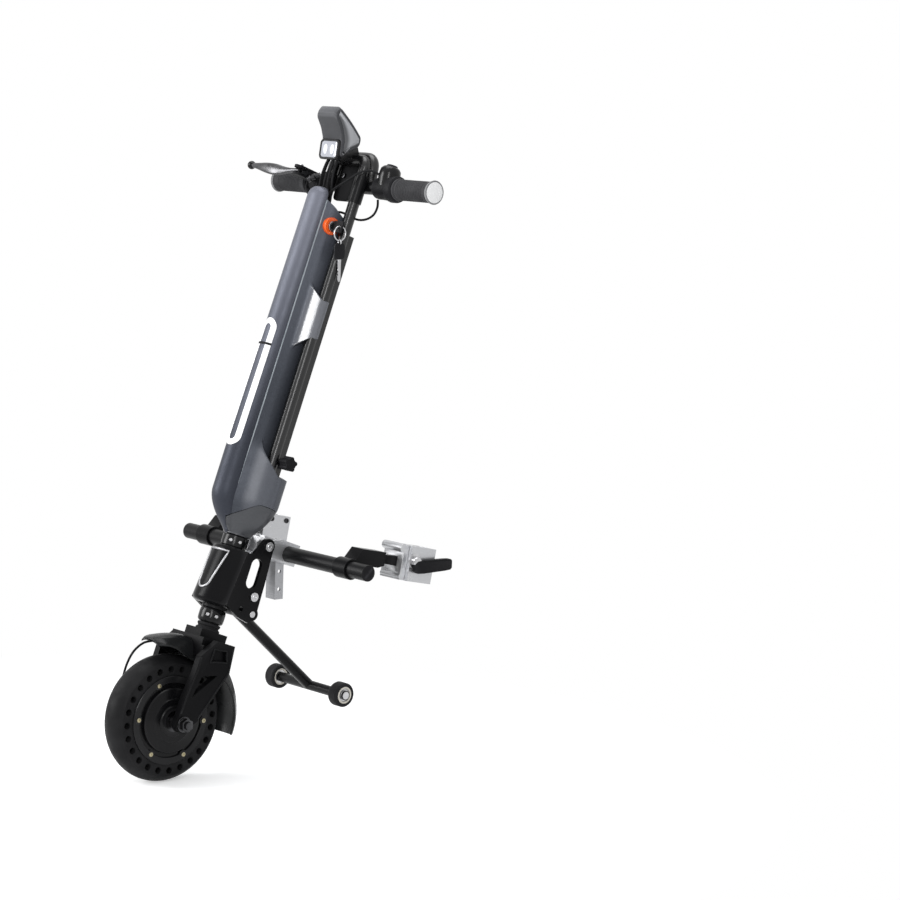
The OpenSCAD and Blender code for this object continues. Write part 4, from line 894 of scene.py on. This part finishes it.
def make_display():
    """Display housing with soft edges and a panel let into each side."""
    half, panel_in, panel_out, border = 24, 23.2, 25.2, 7
    line = smooth_run(DISPLAY_LINE + DISPLAY_LINE[:1], steps=4)[:-1]
    piece("display_shell", extruded(line, -half, half, inset=0.09), STEER, DISPLAY, slot="fender_plastic",
          replaces=("display_housing",), sharp=38, bevel=1.2)
    inner = inset_line(line, border)
    for name, start, end in (("display_panel", panel_in, panel_out),
                             ("display_panel_far", -panel_out, -panel_in)):
        panel = extruded(inner, start, end, inset=0.02)
        piece(name, panel, STEER, PANEL, slot="fender_plastic", sharp=38, bevel=0.5)


def inset_line(line, depth):
    """A closed line moved inward by a depth, along its own normals."""
    points = np.array(line, float)
    way = np.roll(points, -1, axis=0) - np.roll(points, 1, axis=0)
    normal = np.stack([-way[:, 1], way[:, 0]], 1) / np.linalg.norm(way, axis=1)[:, None]
    middle = points.mean(axis=0)
    side = np.sign(((middle - points) * normal).sum())
    return points + side * depth * normal


def make_lamp():
    """Square headlamp: a black rim, a milky lens and two bright emitters."""
    face = along_x_at(*HEADLAMP_AT) @ spin(HEADLAMP_TILT, "X")
    emitter_x, emitter_half, emitter_tall = 8.2, 5, 8
    rim = rounded_box(half_across=23.5, half_up=16, corner=7)
    pane = rounded_box(half_across=19.5, half_up=12.6, corner=5)
    layers = ((rim * 0.97, -8), (rim, -1), (rim * 0.985, 1), (rim * 0.94, 2), (pane * 1.02, 2), (pane, 1.6),
              (pane * 0.97, -2))
    piece("lamp_rim", layered(layers, axis=2), face, GLOSS, slot="fender_plastic")
    layers = ((pane * 0.99, -1.6), (pane * 0.99, 1.0), (pane * 0.9, 1.6))
    piece("lamp_lens", layered(layers, axis=2), face, LENS, slot="lamp_lens", replaces=("headlamp_lens",))
    turns = full_turn(FEW_STEPS)
    ring = np.column_stack([emitter_half * np.cos(turns), emitter_tall * np.sin(turns)])
    layers = ((ring, 1.2), (ring, 1.9), (ring * 0.8, 2.3), (ring * 0.4, 2.5))
    for word, side in SIDES:
        emitter = layered(layers, axis=2, centre=(side * emitter_x, 0))
        piece("lamp_emitter_" + word, emitter, face, GLOW, slot="light_white")


def make_riser():
    """Raised middle of the bar behind the uprights, with the plate that joins them."""
    bar_r, plate_up, screw_up, screw_x, plate_front = 9, 877, 884, 17, 2.5
    half = [(60, HANDLE_V, 871), (53, HANDLE_V, 871.5), (47, 10, 875), (43.5, 8, 884), (42, 7, 896),
            (39, 6.5, 907), (32, 6, 914), (22, 6, 916), (0, 6, 916)]
    run = smooth_run(half + [(-x, v, w) for x, v, w in reversed(half[:-1])], steps=5)
    piece("bar_riser", rod(run, bar_r), STEER, UPRIGHT, sharp=40)
    plate = rounded_box(half_across=29.5, half_up=33, corner=8)
    layers = ((plate * 0.97, plate_front), (plate, 3.2), (plate, 7.2), (plate * 0.97, 7.9))
    piece("stem_plate", layered(layers, axis=1, centre=(0, plate_up)), STEER, DEEP)
    for word, side in reversed(SIDES):
        place = along_x_at(side * screw_x, plate_front, screw_up) @ spin(-math.pi / 2, "Z")
        socket_screw("plate_screw_" + word, place, radius=4, height=3, material=DARK_STEEL)


def grip_profile(start, end):
    """Closed profile of a grip: a collar and shallow ribs."""
    body_r, groove_r, ribs = 16.2, 15.7, 16
    line = [(start, BAR_BORE_R), (start, 17.0), (start + 1.5, 17.6), (start + 4, 17.4), (start + 5.5, 16)]
    first = start + 8
    step = (end - 14 - first) / ribs
    for k in range(ribs):
        x = first + step * k
        line += [(x, body_r), (x + 0.62 * step, body_r), (x + 0.74 * step, groove_r),
                 (x + 0.9 * step, groove_r)]
    return line + [(end - 12, body_r), (end - 7, 16.7), (end - 4, 17.2), (end - 4, BAR_BORE_R)]


def flare_profile(end):
    """Closed profile of the pale ring at the outer end of a grip."""
    return [(end - 4, 11.2), (end - 4, 17.2), (end - 2.4, 18), (end - 0.8, 18.4), (end, 17.8), (end, 11.2)]


def plug_profile(place, reach, radius):
    """Closed profile of a low domed plug at the end of a tube; the place is its rim."""
    shares = ((-0.5, 1), (0, 1), (0.5, 0.9), (0.85, 0.6))
    line = [(place + along * reach, wide * radius) for along, wide in shares]
    return [(place - 0.5 * reach, AXIS_R)] + line + [(place + reach, AXIS_R)]


def make_grips():
    """Both grips with their end rings and plugs, and the bar under them, shorter on the far side."""
    left = along_x_at(0, HANDLE_V, HANDLE_W)
    right = left @ spin(math.pi, "Z")
    for place, start, end, word, body, old in (
            (left, LEFT_FROM, LEFT_END, "throttle", "throttle_twist", "throttle_grip"),
            (right, RIGHT_FROM, RIGHT_END, "right", "steering", "right_grip")):
        sleeve = turned(grip_profile(start, end), ROUND_STEPS)
        flare = turned(flare_profile(end), ROUND_STEPS)
        plug = turned(plug_profile(end - 0.4, reach=1.2, radius=17), MIDDLE_STEPS)
        piece(word + "_sleeve", sleeve, place, GRIP, body, "grip_rubber", (old,), sharp=30)
        piece(word + "_flare", flare, place, CAP_GREY, body, "grip_rubber", sharp=30)
        piece(word + "_plug", plug, place, PALE_CAP, body, "grip_rubber", sharp=40)
    end_from, hidden = -180, 0.8
    for vertex in refined("handlebar", TUBE, bevel=0.8).data.vertices:
        if vertex.co.x < end_from * MM:
            vertex.co.x += (LEFT_END - RIGHT_END + hidden) * MM


def make_throttle():
    """Throttle body with a stepped ring, and the pod with its button."""
    line = [(64, BAR_BORE_R), (64, 14), (66, 16.5), (70, 17.2), (80, 17.4), (92, 18.2), (97, 18.6),
            (98, 20), (100, 20.6), (109, 20.6), (111, 20), (112.6, 18), (112.8, BAR_BORE_R)]
    piece("throttle_body", turned(line, ROUND_STEPS), along_x_at(0, HANDLE_V, HANDLE_W), PLASTIC,
          slot="fender_plastic", replaces=("throttle_housing",), sharp=32)
    pod = [(0, AXIS_R), (0, 13), (10, 15.5), (14, 16.6), (22, 16.8), (28, 15.8), (31.5, 13.2), (33, 10.2),
           (33, 9.4), (23.5, 9.4), (23.5, AXIS_R)]
    place = upright_at(*POD_AT)
    piece("throttle_pod", turned(pod, MIDDLE_STEPS), place, GLOSS, slot="fender_plastic", sharp=32)
    knob = [(27, AXIS_R), (27, 8.9), (34, 8.9), (35.6, 8.0), (36, 6.0), (35.4, AXIS_R)]
    piece("button_cap", turned(knob, SMALL_STEPS), place, PLASTIC, "button", "fender_plastic",
          ("pod_button",), sharp=32)


def make_lever():
    """Leaf-shaped brake lever with a ball at its tip, its clamp and cable stop."""
    ball_r, ball_at, ball_steps = 6.8, (-200, -41, 877), 16
    run = smooth_run(LEVER_RUN, steps=5)
    piece("lever_blade", swept(run[:, :3], run[:, 3:], FEW_STEPS), STEER, LEVER_METAL, "brake_hand_lever",
          replaces=("brake_lever",), sharp=40)
    turns = [math.pi * k / ball_steps for k in range(ball_steps + 1)]
    ball = [(-ball_r * math.cos(t), max(ball_r * math.sin(t), AXIS_R)) for t in turns]
    piece("lever_ball", turned(ball, TINY_STEPS), along_x_at(*ball_at), GLOSS, "brake_hand_lever", sharp=40)
    socket_screw("lever_pivot_screw", upright_at(*LEVER_PIVOT), radius=5, height=3, material=STEEL)
    barrel = [(0, AXIS_R), (0, 5), (5, 5.4), (6, 4.4), (8, 4.4), (9, 5.4), (13, 5), (14, 3.4), (22, 3.0),
              (22, AXIS_R)]
    stop = along_x_at(*STOP_AT) @ spin(STOP_TURN, "Y") @ spin(STOP_LEAN, "Z")
    piece("cable_stop", turned(barrel, TINY_STEPS), stop, DARK_STEEL, sharp=30)
    block = rounded_box(half_across=8.6, half_up=3.9, corner=2)
    layers = [(block, back) for back in (-19.5, -18.5, 0, 4)]
    piece("perch_block", layered(layers, axis=1, centre=(PERCH_X, PERCH_W)), STEER, PLASTIC)


def make_keys():
    """Spare key with a dark head and a steel blade, on its ring."""
    hang = along_x_at(*HANG_AT) @ spin(LEAN, "X")
    on_key = ("hanging_key", "bright_steel")
    head = rounded_box(half_across=10, half_up=12.5, corner=6)
    layers = ((head * 0.92, -1.6), (head, -1.1), (head, 1.1), (head * 0.92, 1.6))
    piece("spare_head", layered(layers, axis=0, centre=(0, -37)), hang, PLASTIC, *on_key)
    teeth = [(-3, -49), (3, -49), (3, -80), (1.5, -84), (-1.5, -84), (-3, -80), (-3, -75), (-1.6, -73.5),
             (-3, -71), (-1.4, -68.5), (-3, -66), (-2, -63.5), (-3, -61)]
    piece("spare_blade", extruded(teeth, start=-1.0, end=1.0, inset=0.02), hang, STEEL, *on_key)
    ring_r, ring_up, ring_wire, eye_r, eye_up, eye_wire = 11, -9.8, 1.15, 3.6, -22.5, 1.0
    turns = full_turn(MIDDLE_STEPS)
    ring = [(0, ring_r * math.sin(t), ring_up + ring_r * math.cos(t)) for t in turns]
    eye = [(eye_r * math.sin(t), 0, eye_up + eye_r * math.cos(t)) for t in turns]
    for name, path, wire, old in (("key_ring", ring, ring_wire, ("spare_key",)),
                                  ("spare_eye", eye, eye_wire, ())):
        loop = rod(path, wire, sides=10, closed=True)
        piece(name, loop, hang, STEEL, *on_key, old, sharp=40)


make_display()
make_lamp()
make_riser()
make_grips()
make_throttle()
make_lever()
make_keys()

# Head, with its trim and rings
HEAD_LOW = 189
NOSE_R = 38
NOSE_SLOPE = math.tan(math.radians(7.1))
PLATE_OUT = 45
PLATE_LOW = 189.5
PLATE_FRONT = -14
PLATE_SLOPE = 9 / 81.5
PLATE_BOLTS = ((30, 295), (31, 215))
HEAD_MIDDLE = np.array([0, -8])
HEAD_CHIN = [(185.5, 0.66), (186.2, 0.78), (187.6, 0.88), (190, 0.95), (194, 0.99)]
HEAD_WALL = [(up, 1) for up in (198, 205, 220, 235, 250, 262, 273)]
HEAD_RIM = [(276, 0.985), (277, 0.95)]
TRIM_R = 1.9
TRIM_SUNK = 0.2
TRIM_FOOT = 12.5
TRIM_HALF = 21.6
TRIM_LOW = 31
TRIM_HIGH = 81


def nose_centre(up):
    return NOSE_SLOPE * (up - HEAD_LOW)


def head_outline(up):
    """Plan of the head at a height: a round nose that runs straight into the side plates."""
    wall, step_in, inside, nose_points, flank_steps = 7.1, 0.2, 6, 14, 5
    inner = PLATE_OUT - wall
    centre = nose_centre(up)
    edge = PLATE_FRONT + (up - PLATE_LOW) * PLATE_SLOPE
    reach = math.hypot(PLATE_OUT, edge - centre)
    touch = math.atan2(PLATE_OUT, centre - edge) - math.acos(NOSE_R / reach)
    turns = np.linspace(0, touch, nose_points)
    nose = [(NOSE_R * math.sin(t), centre - NOSE_R * math.cos(t)) for t in turns]
    start = np.array(nose[-1])
    way = np.array((PLATE_OUT, edge)) - start
    flank = [tuple(start + way * k / flank_steps) for k in range(1, flank_steps + 1)]
    right = nose + flank + [(inner, edge + step_in), (inner, inside), (0, inside)]
    return np.array(right + [(-x, back) for x, back in reversed(right[1:-1])])


def trim_line():
    """The trim's outline on the nose, as [x, rise]: a flat top, two slanted sides and a round foot."""
    slant = [(TRIM_HALF + (TRIM_FOOT - TRIM_HALF) * k / 8, TRIM_HIGH + (TRIM_LOW - TRIM_HIGH) * k / 8)
             for k in range(1, 9)]
    turns = np.linspace(0, math.pi, 17)[1:-1]
    line = [(TRIM_HALF * share, TRIM_HIGH) for share in (-1, -0.5, 0, 0.5, 1)]
    line += slant
    line += [(TRIM_FOOT * math.cos(t), TRIM_LOW - TRIM_FOOT * math.sin(t)) for t in turns]
    return line + [(-x, rise) for x, rise in reversed(slant)]


def make_head():
    """Head shell between and ahead of the side plates, with its bright trim and the plates' bolts."""
    layers = [(HEAD_MIDDLE + (head_outline(up) - HEAD_MIDDLE) * share, up)
              for up, share in HEAD_CHIN + HEAD_WALL + HEAD_RIM]
    piece("head_shell", layered(layers, axis=2), STEER, HEAD, "head", replaces=("head_housing",), sharp=34)
    path = []
    for x, rise in trim_line():
        up = HEAD_LOW + rise
        path.append((x, nose_centre(up) - NOSE_R * math.cos(math.asin(x / NOSE_R)) - TRIM_SUNK, up))
    trim = rod(path, TRIM_R, sides=12, closed=True)
    piece("nose_trim", trim, STEER, CHROME, "head", "trim_chrome", ("front_trim",), sharp=50)
    bolt_x, bolt_r, bolt_h = 48.8, 4.6, 1.6
    for word, side in SIDES:
        for k, (back, up) in enumerate(PLATE_BOLTS):
            place = STEER @ to_side(side) @ shift(bolt_x, back, up)
            socket_screw("%s_plate_bolt_%d" % (word, k), place, bolt_r, bolt_h, STEEL, BODY_OF["latch_pin"])


def make_rings():
    """Rounded rings and a boot about the steerer, above and below the head."""
    bore = 14.4
    low = [(158, bore), (158, 17), (159.5, 19), (162, 20), (166, 20.3), (173, 20.3), (177, 20), (179.5, 19),
           (181, 17), (181, bore)]
    high = [(279, bore), (279, 19.5), (280.5, 20.8), (284, 21.2), (292, 21.2), (295.5, 20.8), (297, 19.5),
            (297, bore)]
    boot = [(145.5, bore), (145.5, 18.4), (147, 19), (149, 18.4), (150, 16.6), (151.5, 16.2), (153, 17.4),
            (155, 18.2), (157, 17.4), (157.8, bore)]
    for name, line, material, old, sharp in (("lower_ring", low, GLOSS, ("clamp_rings",), 30),
                                             ("upper_ring", high, GLOSS, (), 30),
                                             ("steerer_boot", boot, ROLLER, (), 50)):
        piece(name, turned(line, ROUND_STEPS), upright_at(0, 0, 0), material, replaces=old, sharp=sharp)


make_head()
make_rings()

# Front wheel, fork and fenders
FENDER_HALF = 30.5
FENDER_WALL = 2.6
FENDER_STEPS = 28
FENDER_POINTS = 33
FENDER_CROWN = 2.6
FENDER_INSIDE = 0.985
FENDER_RIB = 0.9
RIB_AT = 0.6
RIB_SPREAD = 0.045
TIP_FROM = 0.75
TIP_ROUND = 2.4
HUB_LINE = [(22, 16.2), (22, 67.9), (24.6, 67.9), (25.2, 67.2), (25.2, 57.6), (24.6, 57), (22.4, 56.6),
            (22.4, 51), (27.4, 50.4), (28.8, 49.4), (29.4, 47.6), (30.2, 35.4), (30.8, 34.2), (31.6, 33.6),
            (31.8, 24.5), (32.4, 23.4), (33.4, 22.6), (33.8, 20), (33.8, 16.2)]
HUB_PAD = [(0, AXIS_R), (0, 6.4), (0.5, 6.4), (0.9, 5.8), (0.9, AXIS_R)]
HUB_SCREW_R = 60
HUB_SCREW_TURN = 23
FORK_FACE = 58
FORK_RIBS = (
    ("front", [(-39, 104), (-38.6, 84), (-43.6, 40), (-44.6, 14)], False),
    ("back", [(13.5, 130), (18.2, 93), (-11.5, 14)], False),
    ("pocket", [(-20, 121), (3, 123.5), (9.5, 107), (-20.5, 101)], True),
)


def fender(name, node, outer_r, start, end, drops, tip):
    """Arched shell about the axle with two ribs along it, from its root to a rounded tip."""
    across = np.linspace(-1, 1, FENDER_POINTS)
    rib = FENDER_RIB * np.exp(-((np.abs(across) - RIB_AT) / RIB_SPREAD) ** 2)
    rings = []
    for k in range(FENDER_STEPS + 1):
        share = k / FENDER_STEPS
        angle = math.radians(start + (end - start) * share)
        drop = np.interp(share, np.linspace(0, 1, len(drops)), drops)
        half = FENDER_HALF * (1 - tip * max(0, (share - TIP_FROM) / (1 - TIP_FROM)) ** TIP_ROUND)
        outer = outer_r - drop * np.abs(across) ** FENDER_CROWN + rib
        radii = np.concatenate([outer, (outer - rib - FENDER_WALL)[::-1]])
        sides = half * np.concatenate([across, across[::-1] * FENDER_INSIDE])
        back = -FORK_OFFSET + radii * math.cos(angle)
        rings.append(np.column_stack([sides, back, radii * math.sin(angle)]))
    piece(name, loft(rings), STEER, FENDER, BODY_OF[node], "fender_plastic", (node,), bevel=0.7)


def make_fork_ribs():
    """Raised ribs along the edges of the fork legs."""
    rib_r, steps = 1.5, 6
    for side_word, side in SIDES:
        for word, line, closed in FORK_RIBS:
            ends = line + line[:1] if closed else line
            path = []
            for a, b in zip(np.array(ends), np.array(ends[1:])):
                path += [(FORK_FACE, *(a + (b - a) * k / steps)) for k in range(steps)]
            if not closed:
                path.append((FORK_FACE, *line[-1]))
            shape = rod(path, rib_r, sides=10, closed=closed)
            name = "%s_%s_rib" % (side_word, word)
            piece(name, shape, STEER @ to_side(side), BLACK, BODY_OF["fork"], sharp=50)


def make_hub():
    """Turned hub cover with a deep groove and steps, and its socket screws on round pads."""
    screw_x, screw_r, screw_h, pad_x, count = 25.1, 3.5, 2.2, 24.9, 6
    hub = turned(HUB_LINE, LARGE_STEPS)
    piece("hub_face", hub, AXLE, HUB, BODY_OF["hub_cover"], replaces=("hub_cover",), sharp=24)
    body = BODY_OF["hub_screws"]
    pad = turned(HUB_PAD, TINY_STEPS)
    for k in range(count):
        turn = AXLE @ spin(math.radians(HUB_SCREW_TURN + 360 / count * k), "X")
        place = turn @ shift(screw_x, 0, HUB_SCREW_R)
        screw = socket_screw("hub_screw_%d" % k, place, screw_r, screw_h, BRASS, body, "brass_screws")
        if k == 0:
            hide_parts("hub_screws")
        piece("hub_pad_%d" % k, pad, turn @ shift(pad_x, 0, HUB_SCREW_R), HUB, body, sharp=30)


fender("fender_front", "front_fender", outer_r=129, start=87, end=122, drops=(31, 30, 25, 17, 11, 8),
       tip=0.3)
fender("fender_rear", "rear_fender", outer_r=131, start=70, end=2, drops=(34, 26, 20, 16, 14, 13),
       tip=0.12)
make_fork_ribs()
make_hub()

# Stand rollers
ROLLER_AT = (0, 225.3, 113.8)
ROLLER_TREAD = [(71, 13.6), (71, 16), (71.7, 18), (73.4, 19), (88.6, 19), (90.3, 18), (91, 16), (91, 13.6),
                (89.6, 13.2), (72.4, 13.2)]
ROLLER_RING = [(72.2, 10.4), (72.2, 13.3), (90.4, 13.3), (90.9, 12.9), (90.9, 10.8), (90.4, 10.4)]
ROLLER_BEARING = [(73, 5.1), (73, 10.5), (89.6, 10.5), (89.8, 9.6), (89.2, 9.2), (89.2, 7), (89.8, 6.6),
                  (89.8, 5.1)]
ROLLER_CAP = [(93.4, AXIS_R), (93.4, 6.2), (94, 6), (94.3, 3.4), (93.9, AXIS_R)]


def make_rollers():
    """Rubber rollers with a pale ring, a bearing and the cap of the tube's end."""
    for side_word, side in SIDES:
        node = side_word + "_roller"
        place = along_x_at(*ROLLER_AT) @ to_side(side)
        for word, line, material, old in (("tread", ROLLER_TREAD, ROLLER, (node,)),
                                          ("ring", ROLLER_RING, CREAM, ()),
                                          ("bearing", ROLLER_BEARING, STEEL, ())):
            piece("%s_%s" % (node, word), turned(line, ROUND_STEPS), place, material, BODY_OF[node],
                  "roller_rubber", old, sharp=30)
        cap = turned(ROLLER_CAP, SMALL_STEPS)
        piece(node + "_cap", cap, place, STEEL, BODY_OF["stand_leg"], "bright_steel", sharp=30)


make_rollers()

# Docking crossbar
BAR_SOLID_END = 237
BAR_END = 229
BAR_PLUG_R = 11.9
CLAMP_PIVOT = (0, 106, 27)
HANDLE_IN = 206.2
HANDLE_OUT = 216.5
HANDLE_LINE = [(-6, -14.5), (-1, -18.5), (12, -19), (54, -18), (65, -17), (68, -14.5), (68, -3), (65, -0.5),
               (54, 0.2), (12, 1.2), (-1, 0.6), (-6, -3.4)]
CLAMP_STEM = [(204.9, AXIS_R), (204.9, 11.4), (206, 11.4), (206.4, 10.8), (206.4, 7.4), (213, 7.4),
              (214.4, 6.6), (214.8, 5), (214.8, AXIS_R)]
RECEIVER_FACE = 160.2
RECEIVER_SCREW_R = 4.2
RECEIVER_SCREW_H = 2.2
RECEIVER_SCREWS = ((108, 2), (108, 42), (138, 2), (138, 42))


def make_crossbar():
    """Round copy of the crossbar, a little shorter at both ends."""
    end_from = 200
    for vertex in refined("crossbar", TUBE, bevel=0.7).data.vertices:
        if abs(vertex.co.x) > end_from * MM:
            vertex.co.x -= math.copysign((BAR_SOLID_END - BAR_END) * MM, vertex.co.x)


def make_dock():
    """Plugs in the crossbar's ends, clamp levers on their stems, and the receivers' screws."""
    for word, side in SIDES:
        place = DOCK @ to_side(side)
        plug = turned(plug_profile(BAR_END - 0.5, reach=1.4, radius=BAR_PLUG_R), MIDDLE_STEPS)
        piece(word + "_bar_plug", plug, place, PLASTIC, BODY_OF["crossbar"], sharp=40)
        pivot = place @ shift(*CLAMP_PIVOT) @ spin(DOCK_TILT, "X")
        lever = word + "_clamp_lever"
        piece(word + "_handle", extruded(HANDLE_LINE, HANDLE_IN, HANDLE_OUT, inset=0.07), pivot, PLASTIC,
              BODY_OF[lever], replaces=(lever,), bevel=1.4)
        stem = turned(CLAMP_STEM, MIDDLE_STEPS)
        piece(word + "_stem", stem, pivot, STEEL, BODY_OF[lever], "bright_steel", sharp=30)
        for k, (back, up) in enumerate(RECEIVER_SCREWS):
            screw = place @ shift(RECEIVER_FACE, back, up) @ spin(math.pi, "Z")
            socket_screw("%s_receiver_screw_%d" % (word, k), screw, RECEIVER_SCREW_R, RECEIVER_SCREW_H,
                         DARK_STEEL, BODY_OF[word + "_receiver"])


make_crossbar()
make_dock()

# Everything else: rounded copies of the solids, and a few solids painted as they are
ROUNDED = {
    "hub_shell": (BLACK, 0.6), "motor_axle": (DARK_STEEL, 0.5), "axle_nuts": (DARK_STEEL, 0.6),
    "fork": (BLACK, 1.4), "ring_screws": (STEEL, 0.5), "left_side_plate": (HEAD, 1.4),
    "right_side_plate": (HEAD, 1.4), "carrier_pivot_bolts": (STEEL, 0.8), "latch_pin": (STEEL, 0.8),
    "stand_pivot_pin": (STEEL, 0.5), "stand_leg": (TUBE, 0.8), "carrier_bracket": (SILVER, 0.9),
    "latch_lever": (SHADED_SILVER, 2.0), "left_dock_arm": (HEAD, 2.0), "right_dock_arm": (HEAD, 2.0),
    "left_receiver": (SILVER, 1.4), "right_receiver": (SILVER, 1.4), "left_clamp_cap": (SILVER, 1.2),
    "right_clamp_cap": (SILVER, 1.2), "lock_ring": (ORANGE, 0.8), "lock_barrel": (STEEL, 0.5),
    "key": (PLASTIC, 0.5), "upright_frame": (UPRIGHT, 0.9), "left_knob": (PLASTIC, 0.8),
    "right_knob": (PLASTIC, 0.8), "brake_bracket": (PLASTIC, 0.8), "tyre": (TYRE, 0.8),
}
PAINTED = {"wheel_bearings": DARK_STEEL, "head_bearings": BLACK, "battery_pack": PLASTIC,
           "display_screen": SCREEN}


def make_others():
    for node, (material, bevel) in ROUNDED.items():
        refined(node, material, bevel)
    for node, material in PAINTED.items():
        painted(node, material)


make_others()

# Stage and light
FLOOR_HALF = 8
FLOOR_LIFT = 0.42
SHADOW_NEAR = 0.45
SHADOW_FAR = 0.95
WORLD_LIGHT = 0.45
LAMP_TARGET = (0, 0.1, 0.55)


def backdrop_rays(tree):
    """One for rays that see the backdrop: from the camera, off metal and through glass."""
    rays = tree.nodes.new("ShaderNodeLightPath").outputs
    value = rays["Is Camera Ray"]
    for kind in ("Is Glossy Ray", "Is Transmission Ray"):
        value = joined(tree, "ShaderNodeMath", value, rays[kind], operation="MAXIMUM")["Value"]
    return value


def mixed(tree, factor, first, second):
    """Two shaders mixed by a factor."""
    return joined(tree, "ShaderNodeMixShader", factor, first, second)["Shader"]


def make_floor():
    """White floor that keeps the shadow near the part and runs into the backdrop further out."""
    corners = [(x * FLOOR_HALF, y * FLOOR_HALF, 0) for x, y in ((-1, -1), (1, -1), (1, 1), (-1, 1))]
    mesh = bpy.data.meshes.new("floor")
    mesh.from_pydata(corners, [], [(0, 1, 2, 3)])
    s = Shader("floor_white", Roughness=0.95, Specular_IOR_Level=0.0, Base_Color=(0.9, 0.9, 0.9, 1))
    shaded = s.shader.outputs["BSDF"]
    white = s.add("ShaderNodeEmission")["Emission"]
    lift = s.add("ShaderNodeEmission", Strength=FLOOR_LIFT)["Emission"]
    lifted = joined(s.tree, "ShaderNodeAddShader", shaded, lift)["Shader"]
    length = joined(s.tree, "ShaderNodeVectorMath", s.place, operation="LENGTH")["Value"]
    away = s.ranged(length, 0, 1, SHADOW_NEAR, SHADOW_FAR)
    far = mixed(s.tree, away, lifted, white)
    seen = mixed(s.tree, backdrop_rays(s.tree), shaded, far)
    s.feed(s.tree.nodes["Material Output"], Surface=seen)
    mesh.materials.append(s.material)
    floor = add_object("floor", mesh)


def make_world():
    world = bpy.data.worlds.new("studio")
    world.use_nodes = True
    tree = world.node_tree
    light = tree.nodes["Background"]
    light.inputs["Color"].default_value = (0.96, 0.98, 1.0, 1)
    light.inputs["Strength"].default_value = WORLD_LIGHT
    shown = tree.nodes.new("ShaderNodeBackground")
    shown.inputs["Color"].default_value = (1, 1, 1, 1)
    shown.inputs["Strength"].default_value = 1.0
    mix = mixed(tree, backdrop_rays(tree), light.outputs["Background"], shown.outputs["Background"])
    tree.links.new(mix, tree.nodes["World Output"].inputs["Surface"])
    bpy.context.scene.world = world


def lamp(name, place, target, size, power):
    data = bpy.data.lights.new(name, "AREA")
    data.shape = "RECTANGLE"
    data.size, data.size_y = size
    data.energy = power
    thing = add_object(name, data)
    thing.location = place
    thing.rotation_mode = "QUATERNION"
    thing.rotation_quaternion = (Vector(target) - Vector(place)).to_track_quat("-Z", "Y")


def make_lights():
    make_world()
    lamp("front_lamp", (-1.7, -2.3, 1.5), LAMP_TARGET, size=(1.3, 1.9), power=80)
    lamp("strip_lamp", (2.1, -1.75, 1.65), LAMP_TARGET, size=(0.45, 1.8), power=34)
    lamp("top_lamp", (-0.2, 0.3, 3.0), (0, 0.1, 0.5), size=(1.6, 1.6), power=34)


make_floor()
make_lights()
bpy.context.scene.view_settings.view_transform = "Standard"
